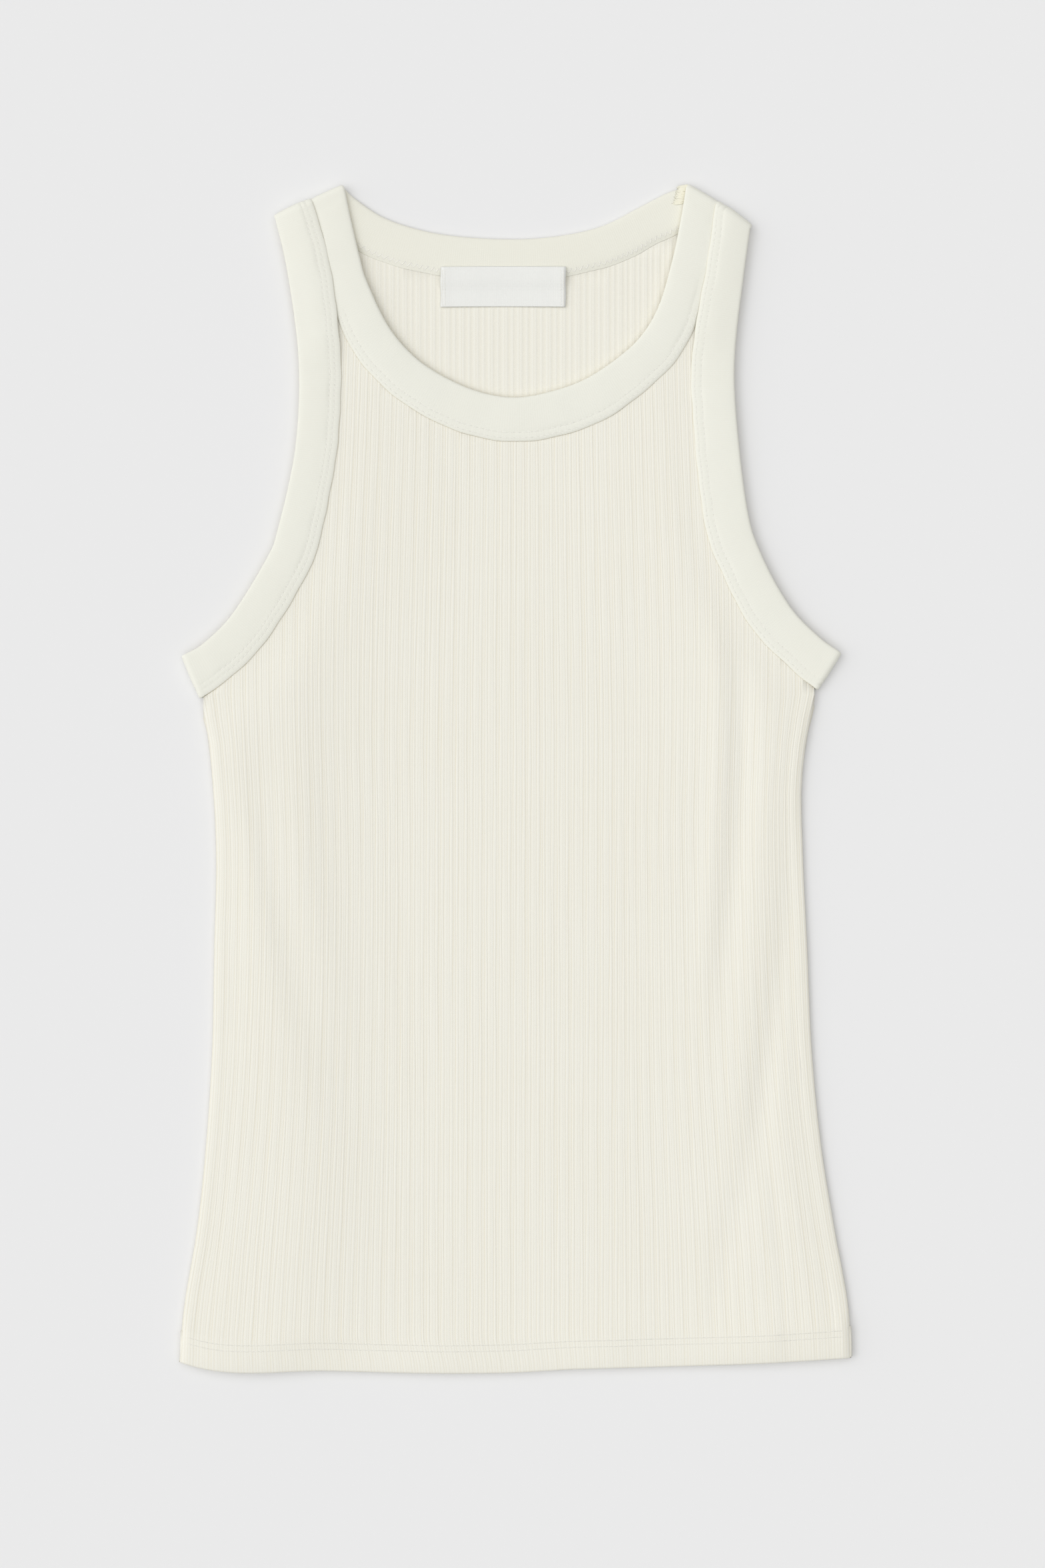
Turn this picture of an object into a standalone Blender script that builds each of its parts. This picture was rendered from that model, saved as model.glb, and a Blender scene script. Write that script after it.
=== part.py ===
"""Racer-cut tank top in fine rib knit, laid flat on its back with the front up.

The garment is cut and sewn from a front panel, a back panel, a neck band, two armhole bands and a label.
Tables and sizes are in millimetres: x to the right, y towards the neck, z up from the floor. The origin is
under the middle of the laid-out garment. Blender's objects are in metres.
"""

import math
from collections import namedtuple

import bmesh
import bpy
import numpy as np

MM = 0.001

# Cloth
WALL = 1.0  # one layer of rib knit or of band knit
GAP = 0.3  # clearance between pieces that touch
RIB_HEIGHT = 0.3  # how far a narrow rib stands above the panel
RIB_HALF_WIDTH = 0.75
RIB_REPEAT = 7.25  # two narrow ribs to a repeat
SECOND_RIB = 4.05  # place of the second narrow rib in a repeat
HEM_DEPTH = 16.0  # the turned-up hem, where each panel is double
HEM_END = 25.0  # above the hem's edge: single cloth again

# Bands: a folded strip whose free part is double and whose lap lies on the panel
FREE_WIDTH = 15.0  # from the folded edge to the panel's cut edge
PANEL_EDGE = 15.9  # where the panel's cut edge lies, measured from the band's folded edge
LAP_RISE = WALL + RIB_HEIGHT + GAP  # the front band's lap clears the panel's ribs
FRONT_BAND = LAP_RISE + WALL
BACK_BAND = 2 * WALL + GAP
NOSE = 0.8  # how far the folded edge is rounded
BUTT_GAP = 0.45  # clearance where a panel or a band ends beside another band
LAP_OVER_BAND = WALL + GAP  # the armhole bands also lap over the neck band on the straps
STRAP_LAP_TOP = 222.0  # above this height the neck band lies under the armhole bands
STRAP_LAP_END = 204.0
BACK_INSET = 2.0  # the back armhole edges lie hidden inside the front ones
FOLDED_LENGTH = 4.0  # near a fold a band is full, with no step for a panel
BUTT_LENGTH = 15.0  # a panel slides under the lap only this far from the underarm fold
SECTION_SPACING = 8.0
FOLD_TURNS = 4  # steps round the fold at a shoulder or an underarm

# How the layers lie on each other
OVER_PANEL = WALL + GAP  # the front's underside over the back panel
OVER_BAND = BACK_BAND + GAP  # and over a back band
OVER_HEM = 2 * WALL + GAP  # and over the back hem
BAND_CLEAR = 28.5  # a back band's reach from its folded edge, with room
BAND_CLEAR_END = 43.5
SIDE_SEAM_HEIGHT = 2.15  # where front and back meet at the side seams
SIDE_TURN = 5.0  # reach of the front's rounded side
BACK_SIDE_TURN = 4.5
SIDE_PUFF = 1.9  # the front stands off the back along the sides
SIDE_PUFF_WIDTH = 34.0
FOLD_FADE = 40.0  # a fold dies out over this length past its ends
RELIEF_AT_HEM = 0.45  # the share of the folds and the puff that is left at the hem

# The front's columns keep their pitch in the middle and close up towards the waist at the sides
EVEN_WIDTH = 50.0
HEM_HALF_WIDTH = 168.3
FRONT_ROWS = (-226.0, -176.0, -126.0, -76.0, -24.0, 30.0)
FRONT_TOP_ROWS = (0.4, 0.75, 1.0)  # parts of the way from the last row to the cut edge
INNER_STEP = 6  # the plain inside has every sixth column
INNER_RISE = 6.0  # or one more where the cut edge climbs by this much
STRAP_MOUTH = 208.0  # above this height the front is two straps
STRAP_ROWS = (213.0, 220.0, 229.0, 241.0, 254.0, 267.0)
RIB_FADE = (226.0, 236.0)  # on the straps the ribs die out under the bands
BACK_ROWS = (-226.0, -150.0, -76.0, -10.0, 36.0, 39.0, 43.2, 48.0, 56.0, 68.0, 86.0, 109.0)
BACK_CHEST_ROWS = (130.0, 151.0, 173.0, 196.0, 236.0)
BACK_TOP_ROWS = (0.4, 0.75, 1.0)
BACK_TOP = 275.0
BACK_SIDE_COLUMNS = (0.0, 0.004, 0.010, 0.018, 0.032, 0.06)  # parts of the width, close together at a side
BACK_MIDDLE_COLUMNS = 15

# Label
LABEL_LEFT = -37.3
LABEL_RIGHT = 25.3
LABEL_TOP = 255.8
LABEL_ON_BAND_END = 247.8
LABEL_ON_PANEL = 243.5
LABEL_BOTTOM = 235.8

# Outline of the laid-out body: side seams by height, bottom edge from left to right
Side = namedtuple("Side", "y left right")
SIDES = (
    Side(-294.0, -168.3, 168.3),
    Side(-266.0, -166.0, 167.0),
    Side(-226.0, -159.3, 160.0),
    Side(-186.0, -155.0, 153.5),
    Side(-136.0, -151.7, 148.5),
    Side(-86.0, -150.7, 146.3),
    Side(-36.0, -149.7, 144.0),
    Side(0.0, -151.7, 143.6),
    Side(25.0, -154.6, 147.0),
    Side(39.0, -158.4, 150.6),
    Side(43.3, -158.4, 151.8),
)
BottomEdge = namedtuple("BottomEdge", "x y")
BOTTOM = (
    BottomEdge(-168.3, -292.0),
    BottomEdge(-161.0, -294.2),
    BottomEdge(-96.0, -296.3),
    BottomEdge(-31.0, -297.6),
    BottomEdge(-4.0, -297.2),
    BottomEdge(26.0, -295.6),
    BottomEdge(68.0, -294.4),
    BottomEdge(126.0, -292.4),
    BottomEdge(168.3, -289.8),
)

# Stations along each opening's folded edge, each with its partner on the band's sewn edge.
# The first and last station of an armhole, and both ends of the neck's runs, are folds.
Station = namedtuple("Station", "free_x free_y seam_x seam_y")
LEFT_ARMHOLE = (
    Station(-121.0, 281.8, -102.3, 290.0),
    Station(-113.7, 251.9, -92.6, 257.0),
    Station(-108.2, 207.5, -87.1, 208.7),
    Station(-110.0, 164.8, -89.3, 162.5),
    Station(-118.8, 124.1, -98.2, 117.4),
    Station(-124.3, 109.9, -104.5, 101.3),
    Station(-141.1, 82.6, -124.1, 69.2),
    Station(-155.4, 67.9, -142.0, 50.9),
    Station(-167.3, 61.2, -158.5, 39.7),
)
RIGHT_ARMHOLE = (
    Station(119.0, 276.8, 101.6, 288.7),
    Station(114.1, 249.7, 95.2, 254.2),
    Station(110.0, 213.5, 88.6, 214.0),
    Station(110.5, 182.5, 88.7, 181.8),
    Station(116.2, 133.8, 94.4, 129.0),
    Station(123.9, 110.2, 103.8, 101.6),
    Station(137.3, 86.1, 119.3, 73.6),
    Station(151.6, 71.0, 138.5, 54.3),
    Station(163.6, 62.5, 152.0, 43.7),
)
FRONT_NECK = (
    Station(-86.3, 297.2, -101.8, 290.3),
    Station(-82.1, 279.7, -96.4, 273.9),
    Station(-77.4, 259.6, -96.4, 254.6),
    Station(-73.9, 248.0, -92.9, 240.4),
    Station(-63.1, 225.7, -81.6, 214.4),
    Station(-48.9, 209.6, -63.1, 193.0),
    Station(-31.0, 198.5, -39.6, 178.2),
    Station(-13.7, 192.2, -18.3, 170.5),
    Station(2.3, 190.6, 2.3, 168.5),
    Station(19.0, 193.8, 22.7, 171.3),
    Station(34.7, 199.5, 44.3, 179.3),
    Station(50.3, 209.5, 63.7, 192.5),
    Station(63.0, 221.2, 80.0, 208.5),
    Station(72.0, 236.8, 90.8, 228.0),
    Station(78.7, 259.8, 97.9, 256.2),
    Station(82.8, 279.9, 97.3, 273.0),
    Station(86.7, 297.5, 101.1, 289.2),
)
BACK_NECK = (
    Station(86.7, 297.5, 101.1, 289.2),
    Station(77.3, 293.4, 88.6, 276.3),
    Station(62.3, 285.8, 71.3, 267.6),
    Station(44.7, 276.8, 52.3, 258.0),
    Station(25.7, 272.0, 29.0, 251.8),
    Station(2.3, 269.8, 2.3, 249.2),
    Station(-24.3, 270.8, -26.0, 250.2),
    Station(-45.3, 273.9, -49.5, 253.7),
    Station(-64.9, 280.2, -73.8, 261.5),
    Station(-79.0, 289.2, -93.2, 274.4),
    Station(-86.3, 297.2, -101.8, 290.3),
)

# Soft folds of the front: the crest's route, with the fold's half width and height at each place
Crest = namedtuple("Crest", "x y half_width height")
FOLDS = (
    (
        Crest(105.0, 66.0, 8.0, 0.5),
        Crest(103.0, 20.0, 9.0, 1.6),
        Crest(100.0, -50.0, 9.0, 1.8),
        Crest(94.0, -118.0, 9.0, 0.6),
    ),
    (
        Crest(130.0, 20.0, 9.0, 0.6),
        Crest(124.0, -40.0, 10.0, 1.7),
        Crest(118.0, -95.0, 11.0, 1.9),
        Crest(107.0, -160.0, 12.0, 1.7),
        Crest(97.0, -235.0, 14.0, 0.8),
    ),
    (
        Crest(-143.0, 20.0, 9.0, 0.5),
        Crest(-135.0, -55.0, 11.0, 1.6),
        Crest(-121.0, -112.0, 12.0, 1.7),
        Crest(-104.0, -165.0, 15.0, 1.3),
        Crest(-88.0, -240.0, 22.0, 0.8),
    ),
    (
        Crest(-104.0, -100.0, 14.0, 0.3),
        Crest(-102.0, -160.0, 17.0, 0.9),
        Crest(-103.0, -225.0, 20.0, 1.1),
        Crest(-104.0, -280.0, 22.0, 0.5),
    ),
    (
        Crest(-110.0, 12.0, 6.0, 0.4),
        Crest(-106.0, -25.0, 7.0, 0.9),
        Crest(-100.0, -70.0, 8.0, 0.5),
    ),
)

# Colours and finish
CREAM_RIB = (0.830, 0.806, 0.716)
CREAM_BAND = (0.842, 0.820, 0.738)
LABEL_WHITE = (0.850, 0.853, 0.835)
KNIT_ROUGHNESS = 0.9
SATIN_ROUGHNESS = 0.45
SHARP_FROM = 35.0  # degrees


# ---------------------------------------------------------------- curves and heights


def curve_point(points, index, part):
    """A point on the smooth curve through the points, part of the way from one to the next."""
    last = len(points) - 1
    before, start = points[max(index - 1, 0)], points[index]
    end, after = points[index + 1], points[min(index + 2, last)]
    square, cube = part**2, part**3
    return 0.5 * (
        2 * start
        + (end - before) * part
        + (2 * before - 5 * start + 4 * end - after) * square
        + (3 * start - before - 3 * end + after) * cube
    )


def fold_axis(end, neighbour):
    """The end station moved inwards by the reach of the fold that turns round it, and the way outwards."""
    free = np.array([end.free_x, end.free_y])
    seam = np.array([end.seam_x, end.seam_y])
    along = (seam - free) / np.linalg.norm(seam - free)
    outwards = np.array([along[1], -along[0]])
    if outwards @ (free - np.array([neighbour.free_x, neighbour.free_y])) < 0:
        outwards = -outwards
    reach = GAP / 2 + FRONT_BAND
    return free - outwards * reach, seam - outwards * reach, outwards


def run_along(stations):
    """Folded-edge points, their partners on the sewn edge, and the distances from the nearer fold."""
    free = [np.array([s.free_x, s.free_y]) for s in stations]
    seam = [np.array([s.seam_x, s.seam_y]) for s in stations]
    free[0], seam[0], _ = fold_axis(stations[0], stations[1])
    free[-1], seam[-1], _ = fold_axis(stations[-1], stations[-2])
    across = [sewn - folded for folded, sewn in zip(free, seam)]
    folded, sewn = [], []
    for index in range(len(free) - 1):
        count = max(1, round(np.linalg.norm(free[index + 1] - free[index]) / SECTION_SPACING))
        for part in np.arange(count) / count:
            point = curve_point(free, index, part)
            folded.append(point)
            sewn.append(point + across[index] * (1 - part) + across[index + 1] * part)
    folded = np.array(folded + [free[-1]])
    sewn = np.array(sewn + [seam[-1]])
    lengths = np.linalg.norm(np.diff(folded, axis=0), axis=1)
    from_start = np.concatenate([[0.0], np.cumsum(lengths)])
    return folded, sewn, np.minimum(from_start, from_start[-1] - from_start)


def inset_back(stations):
    """The back armhole's stations, from the underarm up, a little further in than the front's."""
    moved = []
    for index, s in enumerate(stations):
        inset = 0.0 if index in (0, len(stations) - 1) else BACK_INSET
        across = np.array([s.seam_x - s.free_x, s.seam_y - s.free_y])
        dx, dy = across / np.linalg.norm(across) * inset
        moved.append(Station(s.free_x + dx, s.free_y + dy, s.seam_x + dx, s.seam_y + dy))
    return tuple(reversed(moved))


def from_folded_edge(folded, sewn, distance):
    across = sewn - folded
    return folded + across / np.linalg.norm(across, axis=1)[:, None] * distance


def distance_to(x, y, line):
    """Distance from each point to a line of plan points."""
    points = np.stack([x, y], axis=-1)[..., None, :]
    starts, steps = line[:-1], np.diff(line, axis=0)
    part = np.clip(((points - starts) * steps).sum(-1) / (steps * steps).sum(-1), 0.0, 1.0)
    return np.linalg.norm(points - starts - part[..., None] * steps, axis=-1).min(-1)


def ramp(value, near, far):
    """1 up to near, falling evenly to 0 at far."""
    return np.clip((far - value) / (far - near), 0.0, 1.0)


FRONT_OPENINGS = {
    "left": run_along(LEFT_ARMHOLE),
    "right": run_along(RIGHT_ARMHOLE),
    "neck": run_along(FRONT_NECK),
}
BACK_OPENINGS = {
    "left": run_along(inset_back(LEFT_ARMHOLE)),
    "right": run_along(inset_back(RIGHT_ARMHOLE)),
    "neck": run_along(BACK_NECK),
}


def side_x(y, side):
    heights = [row.y for row in SIDES]
    return np.interp(y, heights, [getattr(row, side) for row in SIDES])


def bottom_y(x):
    return np.interp(x, [row.x for row in BOTTOM], [row.y for row in BOTTOM])


def near_bands(x, y):
    """1 where the front lies over a back band, 0 well away from the bands."""
    lines = (FRONT_OPENINGS["left"][0], FRONT_OPENINGS["right"][0], BACK_OPENINGS["neck"][0])
    return np.max([ramp(distance_to(x, y, line), BAND_CLEAR, BAND_CLEAR_END) for line in lines], axis=0)


def front_underside(x, y):
    """Height of the front's underside, which lies on the back panel, its hem and its bands."""
    over_hem = ramp(y - bottom_y(x), HEM_DEPTH + 1.0, HEM_END)
    return (
        OVER_PANEL
        + (OVER_BAND - OVER_PANEL) * near_bands(x, y)
        + (OVER_HEM - OVER_PANEL) * over_hem
    )


def fold_height(x, y, crests):
    heights = [crest.y for crest in reversed(crests)]

    def at(name):
        return np.interp(y, heights, [getattr(crest, name) for crest in reversed(crests)])

    beyond = np.maximum(heights[0] - y, y - heights[-1])
    fade = ramp(beyond, 0.0, FOLD_FADE)
    off_crest = (x - at("x")) / at("half_width")
    return at("height") * fade * np.exp(-(off_crest**2))


def front_relief(x, y):
    """How far the front stands off the back: soft folds, and puffed sides."""
    to_side = np.minimum(x - side_x(y, "left"), side_x(y, "right") - x)
    puff = SIDE_PUFF * 0.5 * (1 - np.cos(math.pi * ramp(to_side, SIDE_TURN, SIDE_PUFF_WIDTH)))
    folds = sum(fold_height(x, y, crests) for crests in FOLDS)
    above_hem = ramp(bottom_y(x) + HEM_DEPTH - y, 0.0, HEM_DEPTH)  # 0 at the edge, 1 above the hem
    share = RELIEF_AT_HEM + (1 - RELIEF_AT_HEM) * above_hem
    return (puff + folds) * (1 - near_bands(x, y)) * share


# ---------------------------------------------------------------- meshes


def finished(name, mesh, colour, roughness):
    """Makes one object of the mesh, which is in millimetres, with its own material."""
    bmesh.ops.recalc_face_normals(mesh, faces=mesh.faces)
    bmesh.ops.scale(mesh, vec=(MM, MM, MM), verts=mesh.verts)
    data = bpy.data.meshes.new(name)
    mesh.to_mesh(data)
    mesh.free()
    data.shade_smooth()
    data.set_sharp_from_angle(angle=math.radians(SHARP_FROM))
    made = bpy.data.objects.new(name, data)
    bpy.context.scene.collection.objects.link(made)
    material = bpy.data.materials.new(name)
    material.use_nodes = True
    shader = material.node_tree.nodes["Principled BSDF"]
    shader.inputs["Base Color"].default_value = (*colour, 1.0)
    shader.inputs["Roughness"].default_value = roughness
    shader.inputs["Metallic"].default_value = 0.0
    data.materials.append(material)
    return made


def bridge(mesh, first, first_places, second, second_places):
    """Closes the strip between two chains of vertices whose places run the same way."""
    a = b = 0
    while a < len(first) - 1 or b < len(second) - 1:
        step_first = b == len(second) - 1 or (
            a < len(first) - 1 and first_places[a + 1] <= second_places[b + 1]
        )
        corner = first[a + 1] if step_first else second[b + 1]
        mesh.faces.new((first[a], corner, second[b]))
        a, b = (a + 1, b) if step_first else (a, b + 1)


def sheet(mesh, points):
    """Vertices and quads of a grid of points, row by row."""
    rows = [[mesh.verts.new(point) for point in row] for row in points]
    skin(mesh, rows)
    return rows


def skin(mesh, rows):
    for lower, upper in zip(rows, rows[1:]):
        for k in range(len(lower) - 1):
            mesh.faces.new((lower[k], lower[k + 1], upper[k + 1], upper[k]))


def thick_rows(x, y, middle, thickness, rib, sideways):
    """Outer and inner points of a wall round its middle surface, which curves across the garment only."""
    dx = np.gradient(x, axis=1)
    dz = np.gradient(middle, axis=1)
    length = np.hypot(dx, dz)
    nx, nz = -dz / length, dx / length
    for column, way in sideways:
        nx[:, column], nz[:, column] = way, 0.0
    half = thickness / 2
    outer = np.stack([x + nx * (half + rib), y, middle + nz * (half + rib)], axis=-1)
    inner = np.stack([x - nx * half, y, middle - nz * half], axis=-1)
    return outer, inner


def turned_side(distance, flat, seam, reach):
    """Height of a wall that turns down or up to the side seam."""
    part = np.clip(distance / reach, 0.0, 1.0)
    return seam + (flat - seam) * np.sqrt(1 - (1 - part) ** 2)


# ---------------------------------------------------------------- front panel


def rib_columns():
    """Places of the columns across the hem, and which of them are rib crests."""
    crests = []
    most = math.ceil(HEM_HALF_WIDTH / RIB_REPEAT)
    for repeat in range(-most, most + 1):
        crests += [repeat * RIB_REPEAT, repeat * RIB_REPEAT + SECOND_RIB]
    inside = HEM_HALF_WIDTH - 2 * RIB_HALF_WIDTH
    crests = [crest for crest in crests if abs(crest) < inside]
    places, ribs = [-HEM_HALF_WIDTH], [0.0]
    for crest in crests:
        places += [crest - RIB_HALF_WIDTH, crest, crest + RIB_HALF_WIDTH]
        ribs += [0.0, RIB_HEIGHT, 0.0]
    return np.array(places + [HEM_HALF_WIDTH]), np.array(ribs + [0.0])


def column_x(places, y, thickness):
    """Where the columns lie at a height: even in the middle, closer together at a narrow waist."""
    half = np.where(places < 0, -side_x(y, "left"), side_x(y, "right")) - thickness / 2
    beyond = (np.abs(places) - EVEN_WIDTH) / (HEM_HALF_WIDTH - EVEN_WIDTH)
    reached = np.where(beyond > 0, EVEN_WIDTH + beyond * (half - EVEN_WIDTH), np.abs(places))
    return np.sign(places) * reached


def armhole_edge(openings, stations, side):
    """The panel's cut edge along an armhole, from the side seam up: beside the band, then under its lap."""
    folded, sewn, from_fold = openings[side]
    if folded[0][1] > folded[-1][1]:
        folded, sewn, from_fold = folded[::-1], sewn[::-1], from_fold[::-1]
    width = np.linalg.norm(sewn - folded, axis=1)
    low = folded[:, 1] < STRAP_MOUTH
    beside = ramp(from_fold, BUTT_LENGTH, BUTT_LENGTH + SECTION_SPACING) * low
    reach = beside * (width + BUTT_GAP) + (1 - beside) * PANEL_EDGE
    across = (sewn - folded) / width[:, None]
    edge = folded + across * reach[:, None]
    underarm = stations[-1]
    seam = np.array([underarm.seam_x, underarm.seam_y])
    down = seam - np.array([underarm.free_x, underarm.free_y])
    corner = seam + down / np.linalg.norm(down) * BUTT_GAP
    return np.concatenate([[corner], edge])


def front_cut_y(x, left_edge, right_edge, neck_edge):
    """How high a column reaches: to an armhole's edge, to a strap's mouth or to the neckline."""
    left_x = np.maximum.accumulate(left_edge[:, 0])
    right_x = np.maximum.accumulate(-right_edge[:, 0])
    reached = (
        np.interp(x, left_x, left_edge[:, 1], right=STRAP_MOUTH),
        np.interp(-x, right_x, right_edge[:, 1], right=STRAP_MOUTH),
        np.interp(x, neck_edge[:, 0], neck_edge[:, 1]),
        np.full(len(x), STRAP_MOUTH),
    )
    return np.min(reached, axis=0)


def kept_columns(cut_y, crest, must_have):
    """The columns of the plain inside: sparse, but closer where the cut edge climbs."""
    kept = [0]
    for column in range(1, len(cut_y)):
        far = column - kept[-1] >= INNER_STEP and not crest[column]
        climbs = abs(cut_y[column] - cut_y[kept[-1]]) >= INNER_RISE
        if far or climbs or column in must_have or column == len(cut_y) - 1:
            kept.append(column)
    return kept


def front_panel():
    places, ribs = rib_columns()
    left_edge = armhole_edge(FRONT_OPENINGS, LEFT_ARMHOLE, "left")
    right_edge = armhole_edge(FRONT_OPENINGS, RIGHT_ARMHOLE, "right")
    folded, sewn, _ = FRONT_OPENINGS["neck"]
    neck_edge = from_folded_edge(folded, sewn, PANEL_EDGE)

    # The body, from the hem up to the armholes, the straps' mouths and the neckline
    top_x = column_x(places, FRONT_ROWS[-1], WALL)
    for _ in range(3):
        cut_y = front_cut_y(top_x, left_edge, right_edge, neck_edge)
        top_x = column_x(places, cut_y, WALL)
    last = FRONT_ROWS[-1]
    hem = bottom_y(places)
    heights = [hem, hem + HEM_DEPTH, hem + HEM_END]
    heights += [np.full(len(places), row) for row in FRONT_ROWS]
    heights += [last + part * (cut_y - last) for part in FRONT_TOP_ROWS]
    y = np.array(heights)
    thickness = np.full((len(y), 1), WALL)
    thickness[:2] = 2 * WALL
    x = np.array([column_x(places, row, thick) for row, thick in zip(y, thickness)])
    flat = front_underside(x, y) + thickness / 2 + front_relief(x, y)
    to_side = np.minimum(x - x[:, :1], x[:, -1:] - x)
    middle = turned_side(to_side, flat, SIDE_SEAM_HEIGHT + GAP / 2, SIDE_TURN)
    outer, inner = thick_rows(x, y, middle, thickness, ribs, ((0, -1.0), (-1, 1.0)))

    mouths = [
        [k for k in range(len(places)) if cut_y[k] >= STRAP_MOUTH and places[k] * way > 0]
        for way in (-1, 1)
    ]
    kept = kept_columns(cut_y, ribs > 0, {end for mouth in mouths for end in (mouth[0], mouth[-1])})

    mesh = bmesh.new()
    outer_rows = sheet(mesh, outer)
    inner_rows = sheet(mesh, inner[:, kept])
    numbers = list(range(len(places)))
    bridge(mesh, outer_rows[0], numbers, inner_rows[0], kept)
    for edge in (0, -1):
        skin(mesh, [[row[edge] for row in outer_rows], [row[edge] for row in inner_rows]])

    # Each strap goes on from its mouth, narrowing between the two bands
    stops = [0]
    for mouth, edge in zip(mouths, (left_edge, right_edge)):
        outer_strap, inner_strap = front_strap(mouth, cut_y, x[-1], ribs, edge, neck_edge)
        kept_here = [k for k in kept if mouth[0] <= k <= mouth[-1]]
        picked = [mouth.index(k) for k in kept_here]
        outside = [[outer_rows[-1][k] for k in mouth]] + [
            [mesh.verts.new(point) for point in row] for row in outer_strap
        ]
        inside = [[inner_rows[-1][kept.index(k)] for k in kept_here]] + [
            [mesh.verts.new(row[k]) for k in picked] for row in inner_strap
        ]
        skin(mesh, outside)
        skin(mesh, inside)
        for end in (0, -1):
            skin(mesh, [[row[end] for row in outside], [row[end] for row in inside]])
        bridge(mesh, outside[-1], mouth, inside[-1], kept_here)
        stops += [mouth[0], mouth[-1]]
    stops.append(len(places) - 1)

    # The cut edge between the side seams and the straps
    for start, end in (stops[0:2], stops[2:4], stops[4:6]):
        some = [k for k in kept if start <= k <= end]
        bridge(
            mesh,
            outer_rows[-1][start : end + 1],
            numbers[start : end + 1],
            [inner_rows[-1][kept.index(k)] for k in some],
            some,
        )
    return finished("front_panel", mesh, CREAM_RIB, KNIT_ROUGHNESS)


def front_strap(mouth, cut_y, mouth_x, ribs, armhole, neck_edge):
    """Outer and inner rows of one strap above its mouth."""
    start_x = mouth_x[mouth]
    part = (start_x - start_x[0]) / (start_x[-1] - start_x[0])
    at_left = start_x[0] < 0
    neck = neck_edge[neck_edge[:, 0] < 0] if at_left else neck_edge[neck_edge[:, 0] > 0]
    neck = neck[np.argsort(neck[:, 1])]
    x, y = [start_x], [cut_y[mouth]]
    for row in STRAP_ROWS:
        arm_x = np.interp(row, armhole[:, 1], armhole[:, 0])
        neck_x = np.interp(row, neck[:, 1], neck[:, 0])
        low, high = (arm_x, neck_x) if at_left else (neck_x, arm_x)
        x.append(low + part * (high - low))
        y.append(np.full(len(part), row))
    x, y = np.array(x), np.array(y)
    middle = front_underside(x, y) + WALL / 2
    height = ribs[mouth] * ramp(y, *RIB_FADE)
    outer, inner = thick_rows(x, y, middle, WALL, height, ())
    return outer[1:], inner[1:]


# ---------------------------------------------------------------- back panel


def back_panel():
    """The plain back, flat on the floor, whose columns spread between its two side edges."""
    left_edge = armhole_edge(BACK_OPENINGS, LEFT_ARMHOLE, "left")
    right_edge = armhole_edge(BACK_OPENINGS, RIGHT_ARMHOLE, "right")
    folded, sewn, _ = BACK_OPENINGS["neck"]
    neck_edge = from_folded_edge(folded, sewn, PANEL_EDGE)[::-1]

    def edge_x(height, side, edge):
        on_seam = height <= edge[0][1]
        return np.where(on_seam, side_x(height, side), np.interp(height, edge[:, 1], edge[:, 0]))

    near_side = np.array(BACK_SIDE_COLUMNS)
    in_middle = np.linspace(0.1, 0.9, BACK_MIDDLE_COLUMNS)
    parts = np.concatenate([near_side, in_middle, 1 - near_side[::-1]])

    def spread(height, thickness):
        left = edge_x(height, "left", left_edge) + thickness / 2 * (height <= left_edge[0][1])
        right = edge_x(height, "right", right_edge) - thickness / 2 * (height <= right_edge[0][1])
        return left + parts * (right - left)

    cut_y = np.full(len(parts), BACK_TOP)
    for _ in range(12):
        reached = spread(cut_y, WALL)
        along_neck = np.interp(reached, neck_edge[:, 0], neck_edge[:, 1])
        cut_y = 0.5 * cut_y + 0.5 * np.minimum(along_neck, BACK_TOP)
    hem = bottom_y((parts * 2 - 1) * HEM_HALF_WIDTH)
    last = BACK_CHEST_ROWS[-1]
    heights = [hem, hem + HEM_DEPTH, hem + HEM_END]
    heights += [np.full(len(parts), row) for row in BACK_ROWS + BACK_CHEST_ROWS]
    heights += [last + part * (cut_y - last) for part in BACK_TOP_ROWS]
    y = np.array(heights)
    thickness = np.full((len(y), 1), WALL)
    thickness[:2] = 2 * WALL
    x = np.array([spread(row, thick) for row, thick in zip(y, thickness)])
    flat = np.repeat(thickness / 2, len(parts), axis=1)
    seam = SIDE_SEAM_HEIGHT - GAP / 2
    on_left = y <= left_edge[0][1]
    on_right = y <= right_edge[0][1]
    to_left = np.where(on_left, x - x[:, :1], BACK_SIDE_TURN)
    to_right = np.where(on_right, x[:, -1:] - x, BACK_SIDE_TURN)
    middle = turned_side(np.minimum(to_left, to_right), flat, seam, BACK_SIDE_TURN)
    upper, lower = thick_rows(x, y, middle, thickness, 0.0, ())
    for row in range(len(y)):
        if on_left[row, 0]:
            upper[row, 0] = (x[row, 0] + thickness[row, 0] / 2, y[row, 0], seam)
            lower[row, 0] = (x[row, 0] - thickness[row, 0] / 2, y[row, 0], seam)
        if on_right[row, -1]:
            upper[row, -1] = (x[row, -1] - thickness[row, 0] / 2, y[row, -1], seam)
            lower[row, -1] = (x[row, -1] + thickness[row, 0] / 2, y[row, -1], seam)
    lower[..., 2] = np.maximum(lower[..., 2], 0.0)

    mesh = bmesh.new()
    upper_rows = sheet(mesh, upper)
    lower_rows = sheet(mesh, lower)
    for edge in (0, -1):
        skin(mesh, [upper_rows[edge], lower_rows[edge]])
        skin(mesh, [[row[edge] for row in upper_rows], [row[edge] for row in lower_rows]])
    return finished("back_panel", mesh, CREAM_RIB, KNIT_ROUGHNESS)


# ---------------------------------------------------------------- bands


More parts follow.
